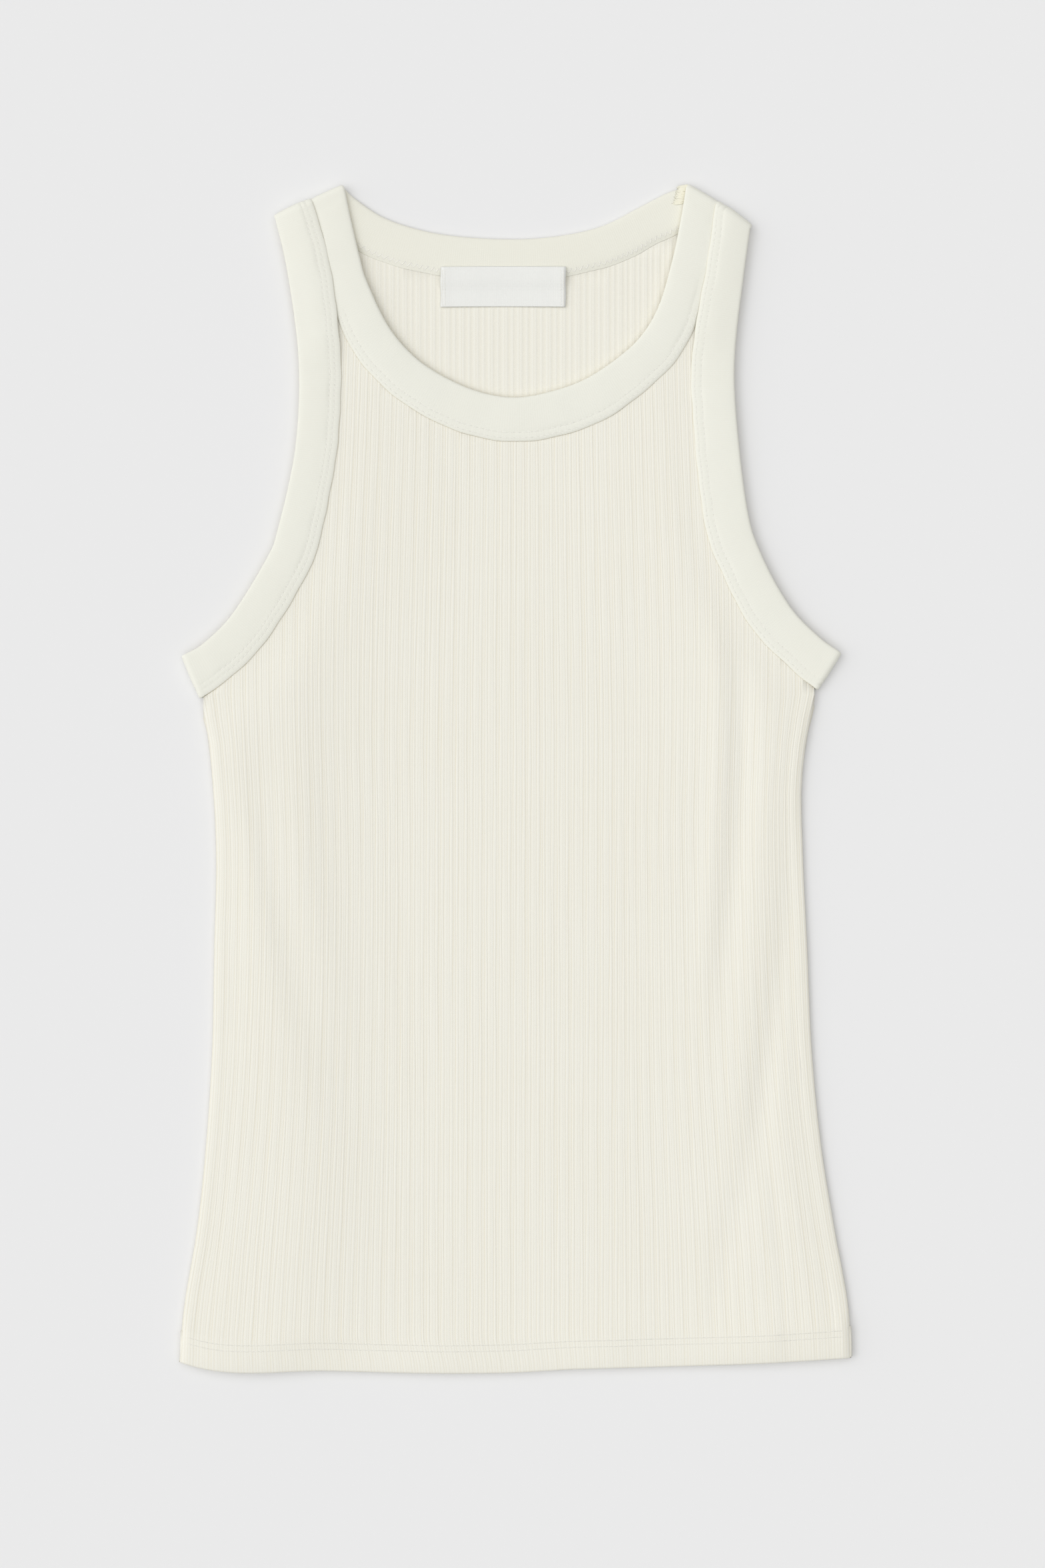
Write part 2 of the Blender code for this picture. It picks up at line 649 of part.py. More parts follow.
def front_profile(width, over_band):
    """Across a front band: (from the folded edge, above the underside), with the lap on top of the panel."""
    top = FRONT_BAND
    return (
        (0.0, top / 2),
        (NOSE, top),
        (FREE_WIDTH, top + over_band),
        (width, top + over_band),
        (width, LAP_RISE + over_band),
        (FREE_WIDTH, LAP_RISE + over_band),
        (FREE_WIDTH, 0.0),
        (NOSE, 0.0),
    )


def back_profile(width):
    """Across a back band, measured from its inner side: the lap is on the inside of the garment."""
    return (
        (0.0, BACK_BAND / 2),
        (NOSE, BACK_BAND),
        (FREE_WIDTH / 2, BACK_BAND),
        (FREE_WIDTH, BACK_BAND),
        (FREE_WIDTH, WALL),
        (width, WALL),
        (width, 0.0),
        (NOSE, 0.0),
    )


def full_profile(width, thick):
    """Across a band at a fold, where no panel reaches."""
    return (
        (0.0, thick / 2),
        (NOSE, thick),
        (width / 2, thick),
        (width, thick),
        (width, thick * 2 / 3),
        (width, thick / 3),
        (width, 0.0),
        (NOSE, 0.0),
    )


def section(folded, sewn, profile, turn, outwards, lift):
    """Points of a profile, turned round the fold from the front (0) to the back (pi)."""
    across = (sewn - folded) / np.linalg.norm(sewn - folded)
    pivot = OVER_BAND - GAP / 2
    points = []
    for from_edge, height in profile:
        radius = GAP / 2 + height
        plan = folded + across * from_edge + outwards * radius * math.sin(turn)
        up = pivot + radius * math.cos(turn)
        if lift:
            up += float(front_underside(plan[0], plan[1])) - OVER_BAND
        points.append((plan[0], plan[1], up))
    return points


def band_loop(name, front, back, turns_at, over_neck_band):
    """One band round its opening: along the front, over a fold, along the back and over the other fold."""
    loop = []
    nowhere = np.zeros(2)
    for stretch, is_front in ((front, True), (back, False)):
        folded, sewn, from_fold = stretch
        for free, seam, fold_distance in zip(folded, sewn, from_fold):
            width = float(np.linalg.norm(seam - free))
            if fold_distance < FOLDED_LENGTH:
                profile = full_profile(width, FRONT_BAND if is_front else BACK_BAND)
            elif is_front:
                over = LAP_OVER_BAND * float(ramp(-seam[1], -STRAP_LAP_TOP, -STRAP_LAP_END))
                profile = front_profile(width, over if over_neck_band else 0.0)
            else:
                profile = back_profile(width)
            turn = 0.0 if is_front else math.pi
            loop.append(section(free, seam, profile, turn, nowhere, is_front))
        free, seam = folded[-1], sewn[-1]
        width = float(np.linalg.norm(seam - free))
        outwards = turns_at[0 if is_front else 1]
        for step in range(1, FOLD_TURNS):
            part = step / FOLD_TURNS
            turned = part if is_front else 1 - part
            thick = FRONT_BAND * (1 - turned) + BACK_BAND * turned
            profile = full_profile(width, thick)
            loop.append(section(free, seam, profile, math.pi * turned, outwards, False))

    mesh = bmesh.new()
    rings = [[mesh.verts.new(point) for point in points] for points in loop]
    for ring, following in zip(rings, rings[1:] + rings[:1]):
        skin(mesh, [ring + ring[:1], following + following[:1]])
    return finished(name, mesh, CREAM_BAND, KNIT_ROUGHNESS)


def armhole_band(side, stations):
    turns = (fold_axis(stations[-1], stations[-2])[2], fold_axis(stations[0], stations[1])[2])
    name = "armhole_band_" + side
    return band_loop(name, FRONT_OPENINGS[side], BACK_OPENINGS[side], turns, True)


def neck_band():
    turns = (fold_axis(FRONT_NECK[-1], FRONT_NECK[-2])[2], fold_axis(FRONT_NECK[0], FRONT_NECK[1])[2])
    return band_loop("neck_band", FRONT_OPENINGS["neck"], BACK_OPENINGS["neck"], turns, False)


# ---------------------------------------------------------------- label


def neck_label():
    """A ribbon whose upper part lies on the back neck band and whose lower part lies on the panel."""
    on_band = BACK_BAND + GAP
    on_panel = WALL + GAP
    profile = (
        (LABEL_TOP, on_band),
        (LABEL_ON_BAND_END, on_band),
        (LABEL_ON_PANEL, on_panel),
        (LABEL_BOTTOM, on_panel),
    )
    mesh = bmesh.new()
    under = [mesh.verts.new((LABEL_LEFT, y, z)) for y, z in profile]
    over = [mesh.verts.new((LABEL_LEFT, y, z + WALL)) for y, z in profile]
    skin(mesh, [under, over])
    strip = bmesh.ops.extrude_face_region(mesh, geom=mesh.faces[:])
    moved = [part for part in strip["geom"] if isinstance(part, bmesh.types.BMVert)]
    bmesh.ops.translate(mesh, vec=(LABEL_RIGHT - LABEL_LEFT, 0.0, 0.0), verts=moved)
    return finished("neck_label", mesh, LABEL_WHITE, SATIN_ROUGHNESS)


for old in list(bpy.data.objects):
    bpy.data.objects.remove(old)
front_panel()
back_panel()
neck_band()
armhole_band("left", LEFT_ARMHOLE)
armhole_band("right", RIGHT_ARMHOLE)
neck_label()
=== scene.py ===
"""A cream rib-knit tank top with a racer cut, lying flat on its back with the front up.

Sizes are in millimetres, as in a sewing room, and each finished mesh is scaled to metres. x runs to the
right, y towards the neck and z up from the floor.
"""

import math
from collections import namedtuple

import bmesh
import bpy
import numpy as np
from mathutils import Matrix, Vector


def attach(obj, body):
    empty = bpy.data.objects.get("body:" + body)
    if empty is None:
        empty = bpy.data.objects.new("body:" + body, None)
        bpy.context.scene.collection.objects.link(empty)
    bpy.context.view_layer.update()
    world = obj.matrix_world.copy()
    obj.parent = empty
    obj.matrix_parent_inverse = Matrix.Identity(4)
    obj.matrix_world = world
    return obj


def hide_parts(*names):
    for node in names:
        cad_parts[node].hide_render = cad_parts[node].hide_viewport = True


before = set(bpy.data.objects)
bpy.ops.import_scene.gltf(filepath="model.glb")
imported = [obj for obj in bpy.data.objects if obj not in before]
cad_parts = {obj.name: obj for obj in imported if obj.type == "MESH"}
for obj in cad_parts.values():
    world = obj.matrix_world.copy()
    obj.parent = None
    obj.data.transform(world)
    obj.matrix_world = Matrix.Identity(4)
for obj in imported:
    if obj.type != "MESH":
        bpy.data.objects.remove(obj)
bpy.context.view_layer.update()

# ---------------------------------------------------------------- back panel
# The back is one layer of rib knit, cut with deep armholes and a shallow neck, and it lies flat on the
# floor. Its ribs are on the outside, so the inside, which shows in the neck opening, is smooth with thin
# grooves between its wales. The bottom edge is turned up inside and sewn with a twin needle, whose
# stitches are not drawn.

MM = 0.001
WALL = 1.0  # one layer of rib knit or of band knit
GAP = 0.3  # clearance between pieces that touch
WELD = 0.002  # closer points merge
RIB_REPEAT = 7.25  # five wales of 1.45
WALE = 1.45
COURSE = 1.05
HEM_DEPTH = 16.0
HEM_END = 25.0
HEM_HALF_WIDTH = 168.3
EVEN_WIDTH = 50.0  # the columns keep their pitch this far from the middle
EASING = (-60.0, -40.0, -20.0, 0.0, 20.0, 40.0)  # the ribs follow the side's average over these heights
EASED_WIDTH = 26.0
BACK_BAND = 2 * WALL + GAP  # thickness of a folded band, behind
FRONT_BAND = 2 * WALL + 2 * GAP  # and in front
OVER_PANEL = WALL + GAP  # height of the front's inside over the back panel,
OVER_BAND = BACK_BAND + GAP  # over a back band
OVER_HEM = 2 * WALL + GAP  # and over the back's hem
PANEL_EDGE = 15.9  # the panel's cut edge, measured from the band's folded edge
SIDE_SEAM_HEIGHT = 2.15  # where front and back meet
SIDE_TURN = 5.0  # reach of the front's rounded side
BACK_SIDE_TURN = 4.5
BACK_INSET = 2.0  # the back armholes lie hidden this far inside the front ones
FOLD_REACH = GAP / 2 + FRONT_BAND
BUTT_LENGTH = 5.0  # a panel ends beside the band only this far from the underarm fold
BUTT_END = 11.0
BUTT_GAP = -0.2  # the cut edge is pressed against the band
STRAP_MOUTH = 208.0  # above this height it always reaches under the lap
SIDE_SEAM_TOP = 42.0
LOWEST_CUT = 30.0  # no column meets a cut edge below this height
FIRST_ROW = -258.0  # of the even rows above the hem

Side = namedtuple("Side", "y left right")
SIDES = (
    Side(-294.0, -168.3, 168.3),
    Side(-266.0, -166.0, 167.0),
    Side(-226.0, -159.3, 160.0),
    Side(-186.0, -155.0, 153.5),
    Side(-136.0, -151.7, 148.5),
    Side(-86.0, -150.7, 146.3),
    Side(-36.0, -149.7, 144.0),
    Side(0.0, -151.7, 143.6),
    Side(25.0, -154.6, 147.0),
    Side(39.0, -158.4, 150.6),
    Side(43.3, -158.4, 151.8),
)
BottomEdge = namedtuple("BottomEdge", "x y")
BOTTOM = (
    BottomEdge(-168.3, -292.0),
    BottomEdge(-161.0, -294.2),
    BottomEdge(-96.0, -296.3),
    BottomEdge(-31.0, -297.6),
    BottomEdge(-4.0, -297.2),
    BottomEdge(26.0, -295.6),
    BottomEdge(68.0, -294.4),
    BottomEdge(126.0, -292.4),
    BottomEdge(168.3, -289.8),
)
# Stations along each opening's folded edge, each with its partner on the band's sewn edge
Station = namedtuple("Station", "free_x free_y seam_x seam_y")
LEFT_ARMHOLE = (
    Station(-121.0, 281.8, -102.3, 290.0),
    Station(-113.7, 251.9, -92.6, 257.0),
    Station(-108.2, 207.5, -87.1, 208.7),
    Station(-110.0, 164.8, -89.3, 162.5),
    Station(-118.8, 124.1, -98.2, 117.4),
    Station(-124.3, 109.9, -104.5, 101.3),
    Station(-141.1, 82.6, -124.1, 69.2),
    Station(-155.4, 67.9, -142.0, 50.9),
    Station(-167.3, 61.2, -158.5, 39.7),
)
RIGHT_ARMHOLE = (
    Station(119.0, 276.8, 101.6, 288.7),
    Station(114.1, 249.7, 95.2, 254.2),
    Station(110.0, 213.5, 88.6, 214.0),
    Station(110.5, 182.5, 88.7, 181.8),
    Station(116.2, 133.8, 94.4, 129.0),
    Station(123.9, 110.2, 103.8, 101.6),
    Station(137.3, 86.1, 119.3, 73.6),
    Station(151.6, 71.0, 138.5, 54.3),
    Station(163.6, 62.5, 152.0, 43.7),
)
FRONT_NECK = (
    Station(-86.3, 297.2, -101.8, 290.3),
    Station(-82.1, 279.7, -96.4, 273.9),
    Station(-77.4, 259.6, -96.4, 254.6),
    Station(-73.9, 248.0, -92.9, 240.4),
    Station(-63.1, 225.7, -81.6, 214.4),
    Station(-48.9, 209.6, -63.1, 193.0),
    Station(-31.0, 198.5, -39.6, 178.2),
    Station(-13.7, 192.2, -18.3, 170.5),
    Station(2.3, 190.6, 2.3, 168.5),
    Station(19.0, 193.8, 22.7, 171.3),
    Station(34.7, 199.5, 44.3, 179.3),
    Station(50.3, 209.5, 63.7, 192.5),
    Station(63.0, 221.2, 80.0, 208.5),
    Station(72.0, 236.8, 90.8, 228.0),
    Station(78.7, 259.8, 97.9, 256.2),
    Station(82.8, 279.9, 97.3, 273.0),
    Station(86.7, 297.5, 101.1, 289.2),
)
BACK_NECK = (
    Station(86.7, 297.5, 101.1, 289.2),
    Station(77.3, 293.4, 88.6, 276.3),
    Station(62.3, 285.8, 71.3, 267.6),
    Station(44.7, 276.8, 52.3, 258.0),
    Station(25.7, 272.0, 29.0, 251.8),
    Station(2.3, 269.8, 2.3, 249.2),
    Station(-24.3, 270.8, -26.0, 250.2),
    Station(-45.3, 273.9, -49.5, 253.7),
    Station(-64.9, 280.2, -73.8, 261.5),
    Station(-79.0, 289.2, -93.2, 274.4),
    Station(-86.3, 297.2, -101.8, 290.3),
)
# One repeat of five wales: a rib, two low wales, a rib and one low wale, with a groove beside each rib
Wale = namedtuple("Wale", "across rise")
RIB_SECTION = (
    Wale(0.0, 0.065),
    Wale(0.30, 0.05),
    Wale(0.56, 0.0),
    Wale(0.73, -0.035),
    Wale(0.92, 0.0),
    Wale(2.18, -0.01),
    Wale(3.43, 0.0),
    Wale(3.62, -0.035),
    Wale(3.79, 0.0),
    Wale(4.05, 0.05),
    Wale(4.35, 0.065),
    Wale(4.65, 0.05),
    Wale(4.91, 0.0),
    Wale(5.08, -0.035),
    Wale(5.80, 0.03),
    Wale(6.52, -0.035),
    Wale(6.69, 0.0),
    Wale(6.95, 0.05),
)


def smoothly(at, places, values):
    """A smooth curve through the values at these places."""
    places, values = np.asarray(places, float), np.asarray(values, float)
    slopes = np.gradient(values, places)
    k = np.clip(np.searchsorted(places, at) - 1, 0, len(places) - 2)
    width = places[k + 1] - places[k]
    part = np.clip((at - places[k]) / width, 0.0, 1.0)
    rest = 1.0 - part
    return (
        (1 + 2 * part) * rest**2 * values[k]
        + part * rest**2 * width * slopes[k]
        + part**2 * (3 - 2 * part) * values[k + 1]
        - part**2 * rest * width * slopes[k + 1]
    )


def ramp(value, near, far):
    """1 up to near, falling to 0 at far."""
    return np.clip((far - value) / (far - near), 0.0, 1.0)


def soft_ramp(value, near, far):
    part = ramp(value, near, far)
    return part * part * (3 - 2 * part)


def side_x(y, side):
    return smoothly(y, [row.y for row in SIDES], [getattr(row, side) for row in SIDES])


def inside_sides(x, y):
    """Distance from the nearer side seam."""
    return np.minimum(x - side_x(y, "left"), side_x(y, "right") - x)


def bottom_y(x):
    return smoothly(x, [row.x for row in BOTTOM], [row.y for row in BOTTOM])


def way_outwards(stations, end):
    """The way a fold faces, across the first (0) or the last (-1) station of an opening."""
    line = np.array(stations)
    across = line[end, 2:] - line[end, :2]
    outwards = np.array([across[1], -across[0]]) / np.linalg.norm(across)
    neighbour = line[1 if end == 0 else -2]
    return outwards * math.copysign(1.0, outwards @ (line[end, :2] - neighbour[:2]))


def run_along(stations, spacing):
    """Even steps along an opening: rows of (folded x, folded y, sewn x, sewn y), and the length so far."""
    line = np.array(stations)
    for end in (0, -1):
        line[end] -= FOLD_REACH * np.tile(way_outwards(line, end), 2)
    last = len(line) - 1
    at = np.linspace(0, last, 80 * last)
    k = np.minimum(at.astype(int), last - 1)
    part = (at - k)[:, None]
    before, start = line[np.maximum(k - 1, 0)], line[k]
    end, after = line[k + 1], line[np.minimum(k + 2, last)]
    dense = 0.5 * (
        2 * start
        + (end - before) * part
        + (2 * before - 5 * start + 4 * end - after) * part**2
        + (3 * start - before - 3 * end + after) * part**3
    )
    steps = np.linalg.norm(np.diff(dense[:, :2], axis=0), axis=1)
    length = np.concatenate([[0.0], np.cumsum(steps)])
    even = np.linspace(0.0, length[-1], max(2, round(length[-1] / spacing)) + 1)
    return np.column_stack([np.interp(even, length, column) for column in dense.T]), even


def way_across(run):
    """The way from the folded edge to the sewn edge, at each station."""
    across = run[:, 2:] - run[:, :2]
    return across / np.linalg.norm(across, axis=1)[:, None]


def inset_back(stations):
    """The back armhole's stations, from the underarm up, a little further in than the front's."""
    line = np.array(stations[::-1])
    line[1:-1] += np.tile(way_across(line[1:-1]) * BACK_INSET, 2)
    return line


def panel_edge(run, reach):
    return run[:, :2] + way_across(run) * reach


def armhole_edge(stations):
    """The panel's cut edge along an armhole, from the side seam up: beside the band, then under its lap."""
    run, even = run_along(stations, 4.0)
    if run[0, 1] > run[-1, 1]:
        run = run[::-1]
    width = np.linalg.norm(run[:, 2:] - run[:, :2], axis=1)
    from_fold = np.minimum(even, even[-1] - even)
    beside = ramp(from_fold, BUTT_LENGTH, BUTT_END) * (run[:, 1] < STRAP_MOUTH)
    reach = beside * (width + BUTT_GAP) + (1 - beside) * PANEL_EDGE
    return panel_edge(run, reach[:, None])


def rib_columns(section):
    """Places of the columns across the hem and how far each stands up, one rib section after another."""
    most = math.ceil(HEM_HALF_WIDTH / RIB_REPEAT)
    rows = [(n * RIB_REPEAT + wale.across, wale.rise) for n in range(-most, most + 1) for wale in section]
    inside = [row for row in rows if abs(row[0]) < HEM_HALF_WIDTH - 0.3]
    rows = [(-HEM_HALF_WIDTH, 0.0)] + inside + [(HEM_HALF_WIDTH, 0.0)]
    return np.array(rows).T


def column_x(places, y):
    """Where the columns lie at a height: even in the middle, closer together at a narrow waist."""

    def half_width(y):
        return np.where(places < 0, -side_x(y, "left"), side_x(y, "right"))

    away = np.abs(places)
    eased = sum(half_width(y + step) for step in EASING) / len(EASING)
    beyond = (away - EVEN_WIDTH) / (HEM_HALF_WIDTH - EVEN_WIDTH)
    reached = np.where(beyond > 0, EVEN_WIDTH + beyond * (eased - EVEN_WIDTH), away)
    reached = reached + (half_width(y) - eased) * soft_ramp(HEM_HALF_WIDTH - away, 0.0, EASED_WIDTH)
    return np.sign(places) * reached


def cut_columns(places, x_at, left_edge, right_edge, neck_edge, top):
    """How high each column reaches before it meets an armhole's or the neck's cut edge."""
    y = np.arange(LOWEST_CUT, top + 0.25, 0.5)[:, None]
    x = x_at(places[None, :], y)
    inside = x > np.interp(y, left_edge[:, 1], left_edge[:, 0])
    inside &= x < np.interp(y, right_edge[:, 1], right_edge[:, 0])
    inside &= y < np.interp(x, neck_edge[:, 0], neck_edge[:, 1])
    inside[0] = True
    reached = np.cumprod(inside, axis=0).sum(axis=0) - 1
    return y[reached, 0]


def panel_rows(places, cut_y, hem, top, spacing, wall):
    """A panel's rows, round its hem and up to the cut edge: y, outside over inside, and share of the ribs."""
    hem, upper = np.array(hem), np.arange(FIRST_ROW, top + 1.0, spacing)
    y = np.concatenate([bottom_y(places)[None, :] + hem[:, :1], np.tile(upper[:, None], len(places))])
    thick = np.concatenate([hem[:, 1], np.full(len(upper), wall)])[:, None]
    rib = np.concatenate([hem[:, 2], np.ones(len(upper))])[:, None]
    return np.minimum(y, cut_y[None, :]), thick, rib


def laid_cloth(name, points, marks, flip=False, closed=False):
    """A grid of cloth laid at points[row, column], in millimetres, and welded where points coincide.
    marks are each point's place in the cloth, across and along, and how much painted crease shade its colour
    takes."""
    rows, columns = points.shape[:2]
    mesh = bmesh.new()
    layer = mesh.verts.layers.float_vector.new("cloth")
    bmesh.ops.create_grid(mesh, x_segments=columns - 1, y_segments=rows - 1, size=0.5)
    for vert in mesh.verts:
        row = round((vert.co.y + 0.5) * (rows - 1))
        column = round((vert.co.x + 0.5) * (columns - 1))
        vert.co = points[row, column] * MM
        vert[layer] = marks[row, column]
    bmesh.ops.remove_doubles(mesh, verts=mesh.verts, dist=WELD * MM)
    if closed:
        bmesh.ops.recalc_face_normals(mesh, faces=mesh.faces)
    elif flip:
        bmesh.ops.reverse_faces(mesh, faces=mesh.faces)
    return finished(name, mesh)


def placed(name, data):
    """A new object in the scene, made of this data."""
    item = bpy.data.objects.new(name, data)
    bpy.context.scene.collection.objects.link(item)
    return item


def finished(name, mesh):
    data = bpy.data.meshes.new(name)
    mesh.to_mesh(data)
    mesh.free()
    data.shade_smooth()
    return placed(name, data)


def with_wall(piece, thickness):
    """Gives a sheet its wall, on the inner side of the modelled face."""
    wall = piece.modifiers.new("wall", "SOLIDIFY")
    wall.thickness = thickness * MM
    wall.offset = -1.0


class Socket:
    """One output of a material's nodes. Sums, products and powers of it add Math nodes."""

    def __init__(self, tree, output=None):
        self.tree, self.output = tree, output

    def node(self, kind, settings, inputs, output=0):
        """Adds any node: its settings are made first, then the values or links of its sockets."""
        made = self.tree.nodes.new(kind)
        for name, value in settings.items():
            setattr(made, name, value)
        for name, value in inputs.items():
            if isinstance(value, Socket):
                self.tree.links.new(value.output, made.inputs[name])
            else:
                made.inputs[name].default_value = value
        return Socket(self.tree, made.outputs[output])

    def maths(self, operation, *values):
        return self.node("ShaderNodeMath", {"operation": operation}, dict(enumerate(values)))

    def __add__(self, other):
        return self.maths("ADD", self, other)

    def __sub__(self, other):
        return self.maths("SUBTRACT", self, other)

    def __rsub__(self, other):
        return self.maths("SUBTRACT", other, self)

    def __mul__(self, other):
        return self.maths("MULTIPLY", self, other)

    def __truediv__(self, other):
        return self.maths("DIVIDE", self, other)

    def __abs__(self):
        return self.maths("ABSOLUTE", self)

    __radd__ = __add__
    __rmul__ = __mul__


def plain_finish(name, colour, roughness, specular):
    """A new material of one colour, with its shader and a start for more nodes."""
    material = bpy.data.materials.new(name)
    material.use_nodes = True
    shader = material.node_tree.nodes["Principled BSDF"]
    shader.inputs["Base Color"].default_value = (*colour, 1.0)
    shader.inputs["Roughness"].default_value = roughness
    shader.inputs["Specular IOR Level"].default_value = specular
    return material, shader, Socket(material.node_tree)


def place_in_cloth(start):
    """Where each point lies in its cloth, across and along, and how much painted crease shade its colour
    takes.
    """
    place = start.node("ShaderNodeAttribute", {"attribute_name": "cloth"}, {}, "Vector")
    return [start.node("ShaderNodeSeparateXYZ", {}, {0: place}, axis) for axis in "XYZ"]


def knit_finish(name, colour, painted_shade_colour, wale, course, relief, shade_between_wales):
    """Matte knit: rows of small slanting loops, a little fuzz, and painted warm shade in the creases and in
    the gaps between the wales.
    """
    material, shader, start = plain_finish(name, colour, 0.92, 0.25)
    across, along, painted_shade = place_in_cloth(start)
    here = start.node("ShaderNodeTexCoord", {}, {}, "Object")
    fuzz = start.node("ShaderNodeTexNoise", {}, {"Vector": here, "Scale": 1400.0, "Detail": 3.0})
    cloud = start.node("ShaderNodeTexNoise", {}, {"Vector": here, "Scale": 22.0, "Detail": 2.0})
    drift = start.node("ShaderNodeTexNoise", {}, {"Vector": here, "Scale": 240.0, "Detail": 2.0})

    from_middle = abs(start.maths("FRACT", across / wale + 0.5 + (drift - 0.5) * 0.2) - 0.5) * 2.0
    seam = start.maths("POWER", from_middle, 5.0)
    slant = (along / course + from_middle * 0.6) * (2 * math.pi)
    loop = start.maths("SINE", slant) * 0.22 + 0.78
    height = (1.0 - seam) * loop + fuzz * 0.4
    bump = start.node("ShaderNodeBump", {}, {"Distance": relief * MM, "Height": height})
    start.tree.links.new(bump.output, shader.inputs["Normal"])
    # painted shade in the gaps between the wales, with a random mottle from the fuzz and the cloud
    between = seam * shade_between_wales + fuzz * 0.10 + (cloud - 0.5) * 0.12
    tone = start.maths("MINIMUM", start.maths("MAXIMUM", painted_shade + between, 0.0), 1.0)
    # the painted shade and the mottle mix the colour towards the painted shade colour
    colours = {0: tone, 6: (*colour, 1.0), 7: (*painted_shade_colour, 1.0)}
    mixed = start.node("ShaderNodeMix", {"data_type": "RGBA"}, colours, 2)
    start.tree.links.new(mixed.output, shader.inputs["Base Color"])
    shader.inputs["Sheen Weight"].default_value = 0.12
    shader.inputs["Sheen Roughness"].default_value = 0.6
    return material


def dressed(piece, material):
    """Gives a piece its finish and lets it move with the garment."""
    piece.data.materials.append(material)
    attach(piece, "root")


RIB_CREAM = (0.845, 0.831, 0.753)
# warmer, darker cream used as painted shade in the ribs' creases and grooves
RIB_CREAM_PAINTED_SHADE = (0.760, 0.700, 0.540)
rib_knit = knit_finish("rib_knit", RIB_CREAM, RIB_CREAM_PAINTED_SHADE, WALE, COURSE, relief=0.06, shade_between_wales=0.30)

# Inside, each rib is a thin groove. The ribs themselves are pressed flat against the floor.
BACK_SECTION = (
    Wale(0.0, 0.0),
    Wale(0.28, 0.05),
    Wale(2.18, 0.06),
    Wale(4.07, 0.05),
    Wale(4.35, 0.0),
    Wale(4.63, 0.05),
    Wale(5.80, 0.06),
    Wale(6.97, 0.05),
)
# painted shade in the thin grooves of the back's inside
BACK_GROOVE_PAINTED_SHADE = 0.45
HemTurn = namedtuple("HemTurn", "up height rib")
BACK_HEM = (
    HemTurn(HEM_DEPTH, 2.0, 0.0),
    HemTurn(8.0, 2.0, 0.0),
    HemTurn(1.0, 2.0, 0.0),
    HemTurn(0.3, 1.7, 0.0),
    HemTurn(0.0, 1.0, 0.0),
    HemTurn(0.3, 0.3, 0.0),
    HemTurn(1.2, 0.0, 0.5),
    HemTurn(8.0, 0.0, 1.0),
    HemTurn(HEM_DEPTH, 0.0, 1.0),
    HemTurn(HEM_END, 0.0, 1.0),
)
BACK_ROW_SPACING = 14.0
BACK_TOP = 275.0
CLOTH_WALL = 0.95  # a little less than WALL, so that folded layers stay apart

left_edge = armhole_edge(inset_back(LEFT_ARMHOLE))
right_edge = armhole_edge(inset_back(RIGHT_ARMHOLE))
neck_edge = panel_edge(run_along(BACK_NECK, 4.0)[0], PANEL_EDGE)[::-1]
places, rises = rib_columns(BACK_SECTION)
cut_y = cut_columns(places, column_x, left_edge, right_edge, neck_edge, BACK_TOP)
y, height, rib = panel_rows(places, cut_y, BACK_HEM, BACK_TOP, BACK_ROW_SPACING, 0.0)
x = column_x(places[None, :], y)
sunk = rises[None, :] * rib
to_side = inside_sides(x, y)
lift = np.clip(to_side / BACK_SIDE_TURN, 0.0, 1.0)
lift = np.where(y > SIDE_SEAM_TOP, 0.0, 1 - np.sqrt(1 - (1 - lift) ** 2))
z = height + sunk + (SIDE_SEAM_HEIGHT - GAP / 2 - height - sunk) * lift
# the grooves on the back's inside take painted shade
groove_shade = np.where(rises > 0, 0.0, BACK_GROOVE_PAINTED_SHADE)
marks = np.stack([places[None, :] + 0 * x, y, 0 * x + groove_shade[None, :]], axis=-1)
back = laid_cloth("back_cloth", np.stack([x, y, z], axis=-1), marks, flip=True)
with_wall(back, CLOTH_WALL)
dressed(back, rib_knit)
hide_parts("back_panel")

# ---------------------------------------------------------------- neck band
# The neckline is finished with a strip of fine knit, folded in half: its fold is the garment's edge, and
# its sewn edge laps over the ribs in front and over the inside of the panel behind. It turns over at both
# shoulders, where the garment is folded. A twin needle sews it, two lines of stitches side by side.

OVER_RIBS = WALL + 0.12  # the lap's underside clears the ribs
LAP = 1.0  # share of the band's width that a point on the lap moves with
FREE = 0.0
STITCH = 2.55
PARTS_OF_STITCH = 4
BAND_CLEAR = 28.0  # the front lies on a back band up to here from the band's fold,
BAND_CLEAR_END = 42.0  # is free to fold from here,
BAND_SLOPE_END = 105.0  # and is down on the panel here
FULL_NEAR_FOLD = 4.0  # beside a fold the band is full, because no panel reaches under its lap
FULL_END = 9.0
BAND_TURNS = 10  # steps round a fold
BandPoint = namedtuple("BandPoint", "part away height full")


